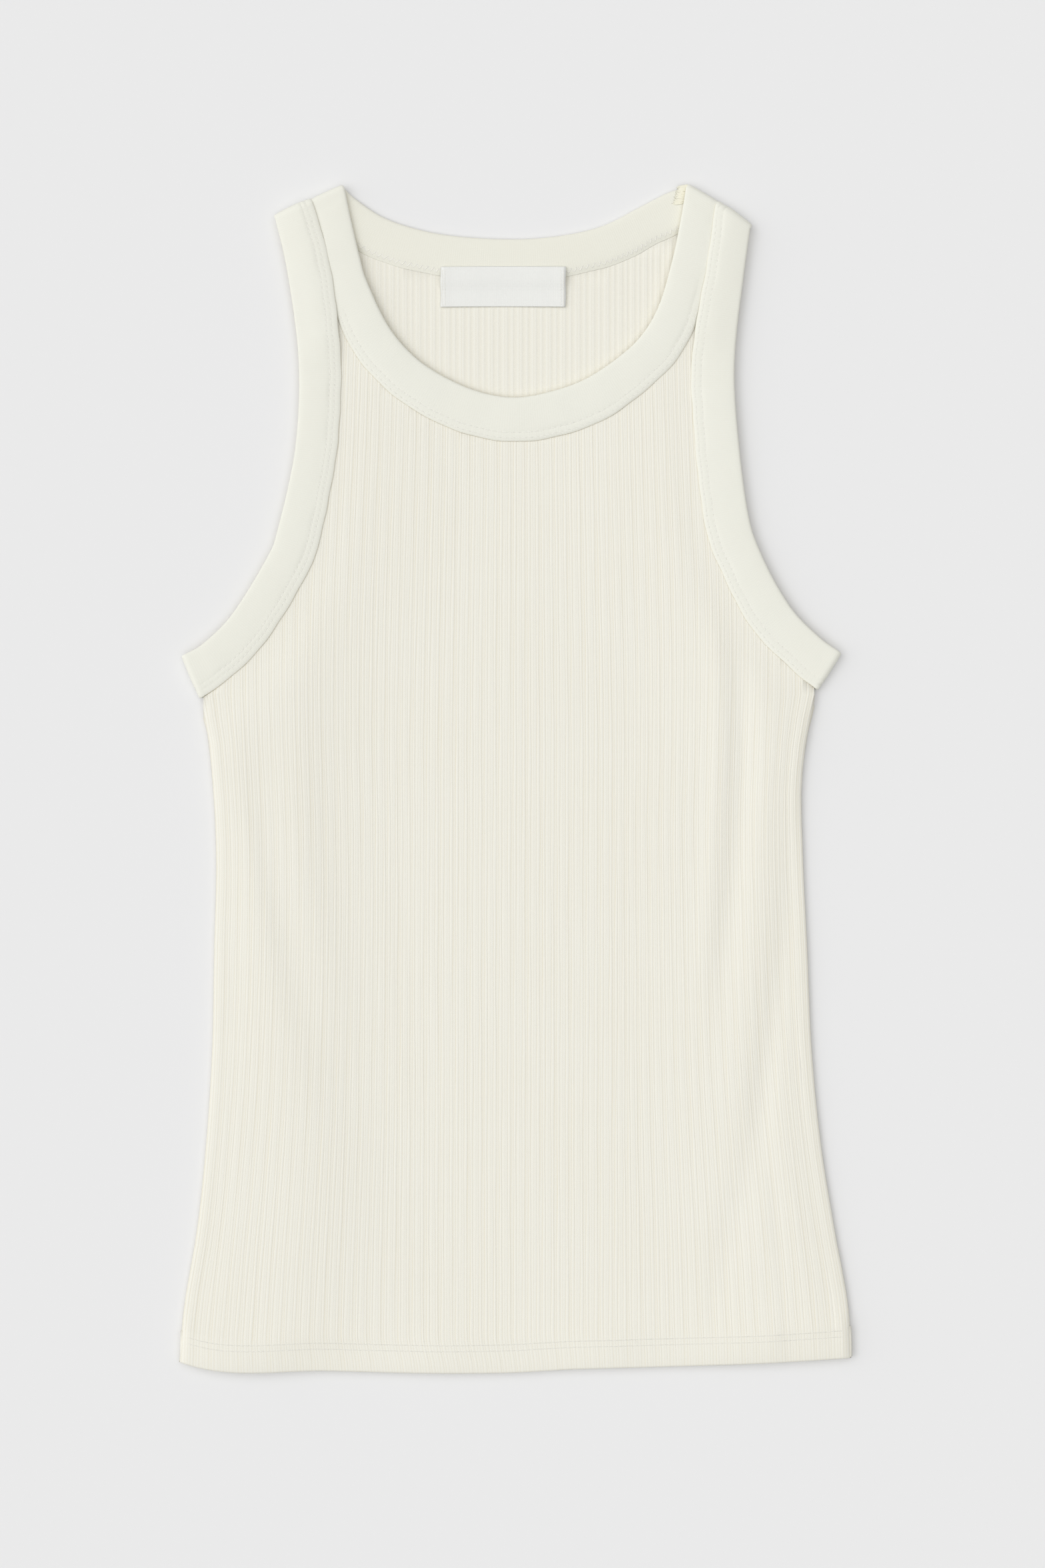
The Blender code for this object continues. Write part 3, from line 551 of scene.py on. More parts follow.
def front_around(lower, upper, fuller=0.0):
    """Across a front band: nose, outer side, lap and inner side. lower and upper are the stitch lines.
    fuller says how much less the lap slopes before its edge."""
    return (
        BandPoint(FREE, 0.0, 1.30, 1.30),
        BandPoint(FREE, 0.10, 1.92, 1.92),
        BandPoint(FREE, 0.45, 2.36, 2.36),
        BandPoint(FREE, 1.30, 2.58, 2.58),
        BandPoint(FREE, 3.2, 2.70, 2.66),
        BandPoint(FREE, 6.0, 2.76, 2.66),
        BandPoint(FREE, 9.0, 2.76, 2.66),
        BandPoint(LAP, -upper - 2.4, 2.62 + 0.04 * fuller, 2.56),
        BandPoint(LAP, -upper - 0.9, 2.46 + 0.10 * fuller, 2.42),
        BandPoint(LAP, -upper - 0.35, 2.38 + 0.13 * fuller, 2.34),
        BandPoint(LAP, -upper, 2.33 + 0.14 * fuller, 2.30),
        BandPoint(LAP, -upper + 0.35, 2.31 + 0.15 * fuller, 2.28),
        BandPoint(LAP, -(upper + lower) / 2, 2.26 + 0.20 * fuller, 2.22),
        BandPoint(LAP, -lower - 0.35, 2.16 + 0.25 * fuller, 2.12),
        BandPoint(LAP, -lower, 2.11 + 0.26 * fuller, 2.06),
        BandPoint(LAP, -lower + 0.35, 2.08 + 0.28 * fuller, 2.03),
        BandPoint(LAP, -lower * 0.45, 1.87 + 0.34 * fuller, 1.88),
        BandPoint(LAP, -0.35, 1.63 + 0.30 * fuller, 1.68),
        BandPoint(LAP, -0.10, 1.47 + 0.22 * fuller, 1.52),
        BandPoint(LAP, 0.0, 1.32, 1.34),
        BandPoint(LAP, -0.08, 1.20, 0.90),
        BandPoint(LAP, -0.40, OVER_RIBS, 0.20),
        BandPoint(LAP, -2.0, OVER_RIBS, 0.0),
        BandPoint(FREE, 15.6, OVER_RIBS, 0.0),
        BandPoint(FREE, 15.1, 1.45, 0.0),
        BandPoint(FREE, 15.0, 1.1, 0.0),
        BandPoint(FREE, 15.0, 0.35, 0.0),
        BandPoint(FREE, 14.8, 0.08, 0.0),
        BandPoint(FREE, 14.2, 0.0, 0.0),
        BandPoint(FREE, 9.0, 0.0, 0.0),
        BandPoint(FREE, 4.0, 0.0, 0.0),
        BandPoint(FREE, 1.6, 0.03, 0.03),
        BandPoint(FREE, 0.5, 0.24, 0.24),
        BandPoint(FREE, 0.1, 0.70, 0.70),
    )


BACK_AROUND = (
    BandPoint(FREE, 0.0, 1.15, 1.15),
    BandPoint(FREE, 0.10, 1.72, 1.72),
    BandPoint(FREE, 0.45, 2.10, 2.10),
    BandPoint(FREE, 1.30, 2.28, 2.28),
    BandPoint(FREE, 3.2, 2.30, 2.30),
    BandPoint(FREE, 6.0, 2.30, 2.30),
    BandPoint(FREE, 9.0, 2.30, 2.30),
    BandPoint(FREE, 12.0, 2.30, 2.30),
    BandPoint(FREE, 13.4, 2.30, 2.30),
    BandPoint(FREE, 14.3, 2.27, 2.30),
    BandPoint(FREE, 14.8, 2.10, 2.30),
    BandPoint(FREE, 15.0, 1.85, 2.30),
    BandPoint(FREE, 15.0, 1.35, 2.30),
    BandPoint(FREE, 15.1, 1.10, 2.30),
    BandPoint(FREE, 15.5, WALL, 2.30),
    BandPoint(LAP, -3.2, WALL, 2.30),
    BandPoint(LAP, -1.6, 1.08, 2.29),
    BandPoint(LAP, -0.6, 1.18, 2.20),
    BandPoint(LAP, -0.2, 1.23, 2.00),
    BandPoint(LAP, 0.0, 1.26, 1.60),
    BandPoint(LAP, 0.0, 1.21, 1.00),
    BandPoint(LAP, -0.30, 1.10, 0.40),
    BandPoint(LAP, -0.80, 0.93, 0.20),
    BandPoint(LAP, -1.4, 0.70, 0.10),
    BandPoint(LAP, -2.1, 0.46, 0.05),
    BandPoint(LAP, -2.9, 0.24, 0.0),
    BandPoint(LAP, -3.6, 0.10, 0.0),
    BandPoint(LAP, -5.0, -0.04, 0.0),
    BandPoint(FREE, 12.5, -0.08, 0.0),
    BandPoint(FREE, 8.5, -0.10, 0.0),
    BandPoint(FREE, 4.0, -0.08, 0.0),
    BandPoint(FREE, 1.6, 0.03, 0.03),
    BandPoint(FREE, 0.5, 0.22, 0.22),
    BandPoint(FREE, 0.1, 0.62, 0.62),
)


def distance_to(x, y, line):
    """Distance from each point to a line of plan points."""
    nearest = np.full(np.shape(x), np.inf)
    for start, end in zip(line[:-1], line[1:]):
        step = end - start
        part = np.clip(((x - start[0]) * step[0] + (y - start[1]) * step[1]) / (step @ step), 0.0, 1.0)
        away = np.hypot(x - start[0] - part * step[0], y - start[1] - part * step[1])
        nearest = np.minimum(nearest, away)
    return nearest


clear_of = [run_along(line, 8.0)[0][:, :2] for line in (LEFT_ARMHOLE, RIGHT_ARMHOLE, BACK_NECK)]


def near_bands(x, y, end):
    """1 where the front lies over a back band, falling to 0 at this distance from the band's fold."""
    nearest = np.min([distance_to(x, y, line) for line in clear_of], axis=0)
    return soft_ramp(nearest, BAND_CLEAR, end)


def front_underside(x, y):
    """Height of the front's inside, which lies on the back panel, its hem and its bands."""
    over_hem = ramp(y - bottom_y(x), HEM_DEPTH + 1.0, HEM_END)
    return (
        OVER_PANEL
        + (OVER_BAND - OVER_PANEL) * near_bands(x, y, BAND_SLOPE_END)
        + (OVER_HEM - OVER_PANEL) * over_hem
    )


NEEDLE_HOLE = 0.20  # how deep a needle hole draws the band in
SEWN_BELOW = 234.0  # above this height the neck band's stitches lie under the armhole bands
TUCK = 4.5  # how far the neck band reaches under them, from TUCK_END up to TUCK_TOP
TUCK_END = 247.0
TUCK_TOP = 262.0
STITCH_ROWS = (10, 14)  # places in front_around: the stitch lines,
UPPER_SIDE = slice(4, 9)  # the upper side between the fold and the stitches,
BESIDE_PANEL = slice(23, 27)  # and the step that faces the panel's cut edge
UPPER_SIDE_FROM = 2.3  # points above this height are on the upper side too
LIFT_FROM = 1.5  # over another band, a band climbs from near its fold to its lap
LIFT_WIDTH = 12.0
# a little painted shade over the bands' back runs
INSIDE_PAINTED_SHADE = 0.12
PAINTED_EDGE_SHADE = np.zeros(34)  # painted warm shade on the turned-in edges, where little light reaches
PAINTED_EDGE_SHADE[[0, 33, 32, 31]] = 0.45, 0.9, 1.0, 1.0
PAINTED_EDGE_SHADE[[18, 19, 20, 21]] = 0.3, 0.6, 1.0, 1.0
TURN_LENGTH = 8.0  # cloth that goes round a fold


class BandRun:
    """One stretch of a band, in front or behind, in even parts of a stitch along its sewn edge."""

    def __init__(self, stations, around, is_front, lap_lift=None, tucked=None):
        self.run, self.even = run_along(stations, STITCH / PARTS_OF_STITCH)
        self.is_front = is_front
        self.part, self.away, self.height, self.full = np.array(around).T
        self.across = way_across(self.run)
        self.width = np.linalg.norm(self.run[:, 2:] - self.run[:, :2], axis=1)
        from_fold = np.minimum(self.even, self.even[-1] - self.even)
        self.fill = soft_ramp(from_fold, FULL_NEAR_FOLD, FULL_END)[:, None]
        self.lift = np.zeros(len(self.run))
        self.sewn = np.ones(len(self.run), bool)
        if tucked is not None:
            self.width += tucked(self.run[:, 3])
            self.sewn = self.run[:, 3] < SEWN_BELOW
        if lap_lift is not None:
            self.lift = lap_lift(self.run[:, 3])
            self.fill = np.where(self.lift[:, None] > 0, 0.0, self.fill)  # the other band fills the step

    def away_from_fold(self):
        unevenness = 0.12 * np.sin(self.even * 0.41) + 0.10 * np.sin(self.even * 0.173 + 1.0)
        return self.part * (self.width + unevenness)[:, None] + self.away

    def heights(self):
        height = self.height * (1 - self.fill) + self.full * self.fill
        if self.is_front:
            needle = (np.arange(len(self.run)) % PARTS_OF_STITCH == 0) & self.sewn
            height[:, STITCH_ROWS] -= np.where(needle, NEEDLE_HOLE, 0.0)[:, None]
        soft = 0.08 * np.sin(self.even * 0.083 + 0.6) + 0.05 * np.sin(self.even * 0.31)
        height[:, UPPER_SIDE] += soft[:, None] * (1 - self.fill)
        raised = (self.part > 0) | (self.height > UPPER_SIDE_FROM)
        raised[BESIDE_PANEL] = True
        step = np.clip((self.away_from_fold() - LIFT_FROM) / LIFT_WIDTH, 0.0, 1.0) * raised
        return height + self.lift[:, None] * step


def tucked_in(y):
    """How much further the neck band reaches at a shoulder, where the armhole band laps over it."""
    return TUCK * soft_ramp(-y, -TUCK_TOP, -TUCK_END)


def band_sections(run, turn, outwards=(0.0, 0.0), mixed=None):
    """Points of a band's sections, turned round a fold from the front (0) to the back (pi).
    mixed is one section that goes round the fold at the run's end."""
    pivot = OVER_BAND - GAP / 2
    across, folded = run.across, run.run[:, :2]
    if mixed is None:
        away, height = run.away_from_fold(), run.heights()
    else:
        away, height = mixed
        across, folded = across[[-1]], folded[[-1]]
    radius = GAP / 2 + height
    plan = folded[:, None, :] + across[:, None, :] * away[..., None]
    plan = plan + np.array(outwards) * (radius * math.sin(turn))[..., None]
    up = pivot + radius * math.cos(turn)
    if run.is_front and mixed is None:
        up += front_underside(plan[..., 0], plan[..., 1]) - OVER_BAND
    return np.concatenate([plan, up[..., None]], axis=-1), away


def band_cloth(name, stations, front, back):
    """A band all round its opening: behind, over a fold, in front, and over the other fold."""
    points, marks = [], []
    length = 0.0
    for run, other, end in ((back, front, 0), (front, back, -1)):
        outwards = way_outwards(stations, end)
        laid, away = band_sections(run, 0.0 if run.is_front else math.pi)
        at = length + run.even
        points += list(laid)
        # painted shade: on the front runs' turned-in edges, and a little over the back runs
        tone = PAINTED_EDGE_SHADE if run.is_front else INSIDE_PAINTED_SHADE
        for along, across in zip(at, away):
            marks.append(np.stack([np.full(len(across), along), across, 0 * across + tone], axis=-1))
        length = at[-1]
        here = np.stack([away[-1], run.heights()[-1]])
        beyond = np.stack([other.away_from_fold()[0], other.heights()[0]])
        for step in range(1, BAND_TURNS):
            part = step / BAND_TURNS
            mixed = here * (1 - part) + beyond * part
            turn = math.pi * (part if run.is_front else 1 - part)
            laid, away = band_sections(run, turn, outwards, mixed[:, None, :])
            points += list(laid)
            along = np.full(len(away[0]), length + part * TURN_LENGTH)
            marks.append(np.stack([along, away[0], 0 * away[0]], axis=-1))
        length += TURN_LENGTH
    come_round = ((0, 1), (0, 1), (0, 0))  # the first section, and the first point of each, once more
    points, marks = (np.pad(np.array(rows), come_round, mode="wrap") for rows in (points, marks))
    return laid_cloth(name, points, marks, closed=True)


THREAD_WIDTH = 0.34
THREAD_THICKNESS = 0.14
THREAD_SIDES = 6


def sewn_threads(name, lines, width=THREAD_WIDTH, thickness=THREAD_THICKNESS, dip=0.10):
    """Short threads on the cloth, from each needle hole of a line to its next, with the ends pulled in."""
    template = bmesh.new()
    bmesh.ops.create_grid(template, x_segments=THREAD_SIDES, y_segments=4, size=0.5)
    bmesh.ops.triangulate(template, faces=template.faces)
    template.verts.ensure_lookup_table()
    grid = np.array([vert.co for vert in template.verts]) + 0.5
    corners = np.array([[vert.index for vert in face.verts] for face in template.faces])
    template.free()
    turn, along = grid[:, 0] * 2 * math.pi, grid[:, 1]
    stretch = 0.5 - 0.5 * np.cos(math.pi * along)
    fat = np.sqrt(np.clip(1 - (2 * stretch - 1) ** 2 * 0.94, 0.0, 1.0))
    starts = np.concatenate([line[:-1] for line in lines])
    run = np.concatenate([line[1:] for line in lines]) - starts
    flat = np.cross(run, (0.0, 0.0, 1.0))
    flat /= np.linalg.norm(flat, axis=1)[:, None]
    points = starts[:, None, :] + run[:, None, :] * stretch[None, :, None]
    points = points + flat[:, None, :] * (np.cos(turn) * fat * width / 2)[None, :, None]
    points[..., 2] += (np.sin(turn) * fat * thickness / 2 - dip * (2 * stretch - 1) ** 4)[None, :]
    data = bpy.data.meshes.new(name)
    count = len(starts)
    faces = (corners[None] + (np.arange(count) * len(grid))[:, None, None]).reshape(-1, 3)
    data.from_pydata((points.reshape(-1, 3) * MM).tolist(), [], faces.tolist())
    layer = data.attributes.new("cloth", "FLOAT_VECTOR", "POINT")
    twist = np.stack([turn, along * 3.0, 0 * along], axis=-1)
    layer.data.foreach_set("vector", np.tile(twist, (count, 1)).ravel())
    mesh = bmesh.new()
    mesh.from_mesh(data)
    bmesh.ops.remove_doubles(mesh, verts=mesh.verts, dist=WELD * MM)
    bmesh.ops.recalc_face_normals(mesh, faces=mesh.faces)
    bpy.data.meshes.remove(data)
    return finished(name, mesh)


def thread_finish(name, colour):
    """Smooth, slightly shiny sewing thread with its twist."""
    material, shader, start = plain_finish(name, colour, 0.6, 0.35)
    turn, along, _ = place_in_cloth(start)
    twist = start.maths("SINE", turn + along * 9.0)
    bump = start.node("ShaderNodeBump", {}, {"Distance": 0.018 * MM, "Height": twist})
    start.tree.links.new(bump.output, shader.inputs["Normal"])
    return material


BAND_CREAM = (0.829, 0.829, 0.751)
# warmer, darker cream used as painted shade on the bands' turned-in edges and between their wales
BAND_CREAM_PAINTED_SHADE = (0.770, 0.715, 0.565)
THREAD_CREAM = (0.870, 0.856, 0.790)
BAND_WALE = 1.05
BAND_COURSE = 0.80
band_knit = knit_finish(
    "band_knit", BAND_CREAM, BAND_CREAM_PAINTED_SHADE, BAND_WALE, BAND_COURSE, relief=0.035, shade_between_wales=0.10
)
thread = thread_finish("sewing_thread", THREAD_CREAM)


def sewn_band(name, run, first, last):
    """Both lines of stitches along a front band, without the stitches at its folds."""
    points, _ = band_sections(run, 0.0)
    shown = slice(first * PARTS_OF_STITCH, last * PARTS_OF_STITCH, PARTS_OF_STITCH)
    on_top = np.array([0.0, 0.0, NEEDLE_HOLE])
    lines = [points[shown, row][run.sewn[shown]] + on_top for row in STITCH_ROWS]
    dressed(sewn_threads(name, lines), thread)


neck_front = BandRun(FRONT_NECK, front_around(lower=1.7, upper=4.5), True, tucked=tucked_in)
neck_back = BandRun(BACK_NECK, BACK_AROUND, False)
neck_band = band_cloth("neck_band_cloth", FRONT_NECK, neck_front, neck_back)
dressed(neck_band, band_knit)
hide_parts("neck_band")
sewn_band("neck_stitches", neck_front, 3, -3)

# ---------------------------------------------------------------- armhole bands
# Each armhole has the same folded strip. It was sewn on after the neck band, so that on the straps its lap
# lies over the neck band's, and it turns over at the shoulder and at the underarm.

STRAP_LAP_TOP = 222.0
STRAP_LAP_END = 204.0


def over_neck_band(y):
    """How far the lap stands higher where it crosses the neck band."""
    return (WALL + GAP) * ramp(-y, -STRAP_LAP_TOP, -STRAP_LAP_END)


for side, stations, lower, upper, fuller in (
    ("left", LEFT_ARMHOLE, 3.2, 5.8, 0.1),
    ("right", RIGHT_ARMHOLE, 2.0, 5.1, 0.0),
):
    in_front = BandRun(stations, front_around(lower, upper, fuller), True, lap_lift=over_neck_band)
    behind = BandRun(inset_back(stations), BACK_AROUND, False)
    band = band_cloth(f"armhole_band_{side}_cloth", stations, in_front, behind)
    dressed(band, band_knit)
    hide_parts(f"armhole_band_{side}")
    sewn_band(f"armhole_stitches_{side}", in_front, 2, -3)

# ---------------------------------------------------------------- front panel
# The front is rib knit with the ribs outside. It lies on the back, on its bands and on its hem, so it
# stands a little higher there, puffs along the sides and holds a few soft folds. Its hem is turned up
# inside and sewn with a twin needle.

SIDE_PUFF = 1.9  # how far the sides stand off the back
SIDE_RISE = 0.72  # the share of it at the side seam
SIDE_CROWN = 20.0  # where it is highest, from the side seam
SIDE_PUFF_WIDTH = 95.0
LEAST_SHARE = 0.9  # a trough takes no more than this share of the puff
SINK = 0.15  # and presses the back panel by this much
FOLD_FADE = 30.0  # a fold dies out over this length past its ends
RELIEF_AT_HEM = 0.45
Crest = namedtuple("Crest", "x y left right height")
FOLDS = (
    # Troughs, from the right armhole down and inwards
    (
        Crest(107.7, 89.0, 5.0, 6.0, -0.5),
        Crest(112.3, 56.0, 6.0, 7.0, -1.0),
        Crest(113.3, 22.5, 6.0, 7.0, -1.3),
        Crest(113.0, -11.0, 6.0, 7.0, -1.25),
        Crest(109.3, -50.0, 6.0, 7.0, -1.0),
        Crest(105.3, -84.0, 6.0, 8.0, -0.8),
        Crest(101.7, -111.0, 6.0, 9.0, -0.25),
    ),
    (
        Crest(139.0, -40.0, 7.0, 6.0, -0.3),
        Crest(134.0, -84.0, 7.0, 6.0, -0.7),
        Crest(129.0, -123.0, 6.5, 6.0, -1.0),
        Crest(124.0, -157.5, 6.5, 6.0, -1.2),
        Crest(117.5, -191.0, 6.0, 8.0, -0.9),
        Crest(106.3, -231.0, 6.0, 9.0, -0.8),
        Crest(99.0, -264.0, 7.0, 9.0, -0.3),
    ),
    (
        Crest(122.0, -165.0, 4.0, 6.0, -0.1),
        Crest(129.0, -206.0, 4.0, 5.0, -0.4),
        Crest(132.5, -241.0, 4.0, 6.0, -0.25),
        Crest(136.0, -270.0, 4.0, 7.0, -0.12),
    ),
    # A low ridge beside the first trough, and the fuller cloth between the troughs
    (
        Crest(99.0, 100.0, 5.0, 6.0, 0.3),
        Crest(101.5, 22.0, 5.0, 6.0, 0.5),
        Crest(98.0, -50.0, 5.0, 6.0, 0.6),
        Crest(95.0, -84.0, 6.0, 6.0, 0.5),
    ),
    (
        Crest(128.0, 10.0, 9.0, 14.0, 0.30),
        Crest(122.0, -50.0, 9.0, 10.0, 0.45),
        Crest(118.0, -100.0, 9.0, 9.0, 0.6),
        Crest(110.0, -150.0, 9.0, 9.0, 0.5),
    ),
    # Ridges on the left, which widen downwards, and a faint trough towards the middle
    (
        Crest(-108.0, 60.0, 12.0, 12.0, 0.2),
        Crest(-109.0, 22.0, 12.0, 12.0, 0.6),
        Crest(-109.0, -11.0, 12.0, 12.0, 1.0),
        Crest(-106.5, -50.0, 12.0, 12.0, 1.1),
        Crest(-98.0, -84.0, 12.0, 12.0, 0.9),
        Crest(-93.0, -123.0, 12.0, 12.0, 0.5),
    ),
    (
        Crest(-141.0, 5.0, 10.0, 7.0, 0.5),
        Crest(-138.5, -11.0, 10.0, 7.0, 0.8),
        Crest(-131.0, -50.0, 12.0, 7.0, 1.0),
        Crest(-124.0, -84.0, 14.0, 7.0, 1.1),
        Crest(-115.0, -123.0, 17.0, 9.0, 1.1),
        Crest(-107.0, -157.0, 22.0, 18.0, 1.3),
        Crest(-102.0, -191.0, 25.0, 32.0, 1.6),
        Crest(-102.0, -231.0, 27.0, 36.0, 1.6),
        Crest(-108.0, -264.0, 27.0, 44.0, 1.5),
    ),
    (
        Crest(-58.0, -70.0, 5.0, 6.0, -0.2),
        Crest(-52.0, -119.0, 6.0, 6.0, -0.35),
        Crest(-45.0, -150.0, 6.0, 7.0, -0.25),
    ),
    # A short slanting line below the neck band
    (
        Crest(-39.5, 172.0, 3.0, 4.0, -0.25),
        Crest(-27.0, 140.0, 3.0, 4.0, -0.2),
    ),
)
# Puckers along the hem, between the places where the two rows of stitches draw the cloth in
Pucker = namedtuple("Pucker", "x left right height")
PUCKERS = (
    Pucker(-120.0, 32.0, 22.0, 1.40),
    Pucker(-38.0, 18.0, 30.0, 1.10),
    Pucker(47.0, 22.0, 18.0, 1.10),
    Pucker(127.0, 34.0, 8.0, 1.20),
)
PUCKER_UP = 10.0
PUCKER_REACH = 11.0


def swell(x, middle, left, right):
    """1 at the middle of a soft ridge, falling off over its left and its right half width."""
    return np.exp(-(((x - middle) / np.where(x < middle, left, right)) ** 2))


def crest_height(x, y, crests):
    """Height of one ridge or trough, which wanders, swells and dies out past its ends."""
    upwards = np.array(crests[::-1])
    heights = upwards[:, 1]
    crest_x, _, left, right, height = (np.interp(y, heights, column) for column in upwards.T)
    fade = soft_ramp(np.maximum(heights[0] - y, y - heights[-1]), 0.0, FOLD_FADE)
    return height * fade * swell(x, crest_x, left, right)


def front_relief(x, y):
    """How far the front stands off the back: soft folds, full sides and puckers along the hem."""
    to_side = inside_sides(x, y)
    rising = SIDE_RISE + (1 - SIDE_RISE) * (1 - soft_ramp(to_side, SIDE_TURN, SIDE_CROWN))
    puff = SIDE_PUFF * rising * soft_ramp(to_side, SIDE_CROWN, SIDE_PUFF_WIDTH)
    folds = sum(crest_height(x, y, crests) for crests in FOLDS)
    up = y - bottom_y(x)
    above_hem = 1 - ramp(up, 0.0, HEM_DEPTH)
    share = RELIEF_AT_HEM + (1 - RELIEF_AT_HEM) * above_hem
    puckers = sum(p.height * swell(x, p.x, p.left, p.right) for p in PUCKERS)
    puckers = puckers * swell(up, PUCKER_UP, PUCKER_REACH, PUCKER_REACH)
    least = -LEAST_SHARE * puff
    return (puff + np.maximum(folds, least - SINK) + puckers) * (1 - near_bands(x, y, BAND_CLEAR_END)) * share


# Rows of the hem, from its inner edge round the fold and up the outside
LOWER_HEM_STITCHES = 11.2
UPPER_HEM_STITCHES = 14.2
FRONT_HEM = (
    HemTurn(HEM_DEPTH, 0.0, 0.0),
    HemTurn(8.0, 0.0, 0.0),
    HemTurn(1.0, 0.0, 0.0),
    HemTurn(0.3, 0.28, 0.0),
    HemTurn(0.0, 1.0, 0.1),
    HemTurn(0.3, 1.72, 0.2),
    HemTurn(1.2, 2.0, 0.4),
    HemTurn(6.0, 2.08, 0.6),
    HemTurn(9.8, 2.04, 0.6),
    HemTurn(LOWER_HEM_STITCHES, 1.95, 0.3),
    HemTurn(12.7, 2.02, 0.6),
    HemTurn(UPPER_HEM_STITCHES, 1.93, 0.3),
    HemTurn(15.6, 1.93, 0.8),
    HemTurn(17.5, 1.70, 1.0),
    HemTurn(21.0, 1.25, 1.0),
    HemTurn(HEM_END, 1.0, 1.0),
)
FRONT_ROW_SPACING = 12.5
FRONT_TOP = 267.0
# painted shade in the grooves beside the ribs
GROOVE_PAINTED_SHADE = 0.30
GROOVE_BELOW = -0.03  # points of the rib section under this are in a groove
UPPER_LEAN = 0.08  # the ribs lean towards the middle on the chest, by this share of their distance
LEAN_TOP = 250.0
STRAIGHT_EDGE = 8.0  # the outermost ribs don't wander
HEM_SLANT = 3.0
HEM_SLANT_REACH = 20.0
HEM_SLANT_X = -50.0
HEM_SLANT_WIDTH = 90.0


def front_x(places, y):
    x = column_x(places, y)
    x = x * (1 - UPPER_LEAN * (1 - soft_ramp(y, 0.0, LEAN_TOP)))
    slanted = soft_ramp(y - bottom_y(places), 0.0, HEM_SLANT_REACH)
    x = x + HEM_SLANT * slanted * swell(places, HEM_SLANT_X, HEM_SLANT_WIDTH, HEM_SLANT_WIDTH)
    wander = 0.16 * np.sin(0.047 * y + 1.7 * places) + 0.10 * np.sin(0.113 * y + 0.9 * places)
    return x + wander * (np.abs(places) < HEM_HALF_WIDTH - STRAIGHT_EDGE)


places, rises = rib_columns(RIB_SECTION)
left_edge, right_edge = armhole_edge(LEFT_ARMHOLE), armhole_edge(RIGHT_ARMHOLE)
neck_edge = panel_edge(run_along(FRONT_NECK, 4.0)[0], PANEL_EDGE)
cut_y = cut_columns(places, front_x, left_edge, right_edge, neck_edge, FRONT_TOP)
y, thick, rib = panel_rows(places, cut_y, FRONT_HEM, FRONT_TOP, FRONT_ROW_SPACING, WALL)
x = front_x(places[None, :], y)
uneven = 0.85 + 0.40 * np.sin(0.061 * y + 2.3 * places) * np.sin(0.023 * y + 0.77 * places)
uneven = uneven + 0.18 * np.sin(0.21 * places + 1.3) * np.sin(0.013 * y + 0.37 * places)
flat = front_underside(x, y) + thick + front_relief(x, y)
to_side = inside_sides(x, y)
turned = np.clip(to_side / SIDE_TURN, 0.0, 1.0)
rolled = np.sqrt(1 - (1 - turned) ** 2)
seam = SIDE_SEAM_HEIGHT + GAP / 2
z = seam + (flat + rises[None, :] * rib * uneven - seam) * rolled
# the grooves beside the ribs take painted shade, more in some places than others
groove_shade = np.where(rises < GROOVE_BELOW, GROOVE_PAINTED_SHADE, 0.0)[None, :] * uneven * rib
marks = np.stack([places[None, :] + 0 * x, y, groove_shade], axis=-1)
front = laid_cloth("front_cloth", np.stack([x, y, z], axis=-1), marks)
with_wall(front, CLOTH_WALL)
dressed(front, rib_knit)
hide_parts("front_panel")

HEM_TOP = 2.03  # the hem's outside above its inside, less a little for the pull of the thread
HEM_STITCH_END = 5.0  # from the side seams
lines = []
for up in (LOWER_HEM_STITCHES, UPPER_HEM_STITCHES):
    along = np.arange(-HEM_HALF_WIDTH + HEM_STITCH_END, HEM_HALF_WIDTH - HEM_STITCH_END, STITCH)
    across = bottom_y(along) + up
    height = front_underside(along, across) + front_relief(along, across) + HEM_TOP
    lines.append(np.column_stack([along, across, height]))
hem_stitches = sewn_threads("hem_stitches", lines, thickness=0.12, dip=0.04)
dressed(hem_stitches, thread)

# ---------------------------------------------------------------- label
# A white satin ribbon, bare, with its short ends folded under. It is sewn on the inside of the back, half on
# the neck band and half on the panel, by two lines of small stitches at each end.

LABEL_LEFT = -37.3
LABEL_RIGHT = 25.3
LABEL_THICKNESS = 0.45
LabelRow = namedtuple("LabelRow", "y height")
LABEL_ROWS = (
    LabelRow(255.8, 2.98),
    LabelRow(255.4, 3.12),
    LabelRow(253.0, 3.16),
    LabelRow(250.0, 3.10),
    LabelRow(248.2, 2.95),
    LabelRow(246.4, 2.50),
    LabelRow(244.6, 2.05),
    LabelRow(242.6, 1.86),
    LabelRow(240.0, 1.84),
    LabelRow(237.5, 1.88),
    LabelRow(236.2, 1.84),
    LabelRow(235.8, 1.74),
)
LABEL_COLUMNS = 40
LABEL_WHITE = (0.830, 0.833, 0.800)
END_FOLD = 0.22  # the folded ends are thicker by this much
END_FOLD_FROM = 3.5
END_FOLD_TO = 5.5
RIPPLE = 0.10
RIPPLE_FROM = 4.0  # the ends are sewn flat

across = np.linspace(0.0, 1.0, LABEL_COLUMNS)
rows = np.array(LABEL_ROWS[::-1])
x = LABEL_LEFT + (LABEL_RIGHT - LABEL_LEFT) * across[None, :] + 0.15 * np.sin(rows[:, :1] * 0.5)
y = rows[:, :1] + 0.25 * np.sin(across * 3.0)[None, :]
to_end = np.minimum(x - LABEL_LEFT, LABEL_RIGHT - x)
folded_under = END_FOLD * soft_ramp(to_end, END_FOLD_FROM, END_FOLD_TO)
z = rows[:, 1:] + folded_under + RIPPLE * np.sin(across * 9.0)[None, :] * (to_end > RIPPLE_FROM)
marks = np.stack([x, y, 0 * x], axis=-1)
label = laid_cloth("label_ribbon", np.stack([x, y, z], axis=-1), marks)
with_wall(label, LABEL_THICKNESS)
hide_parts("neck_label")


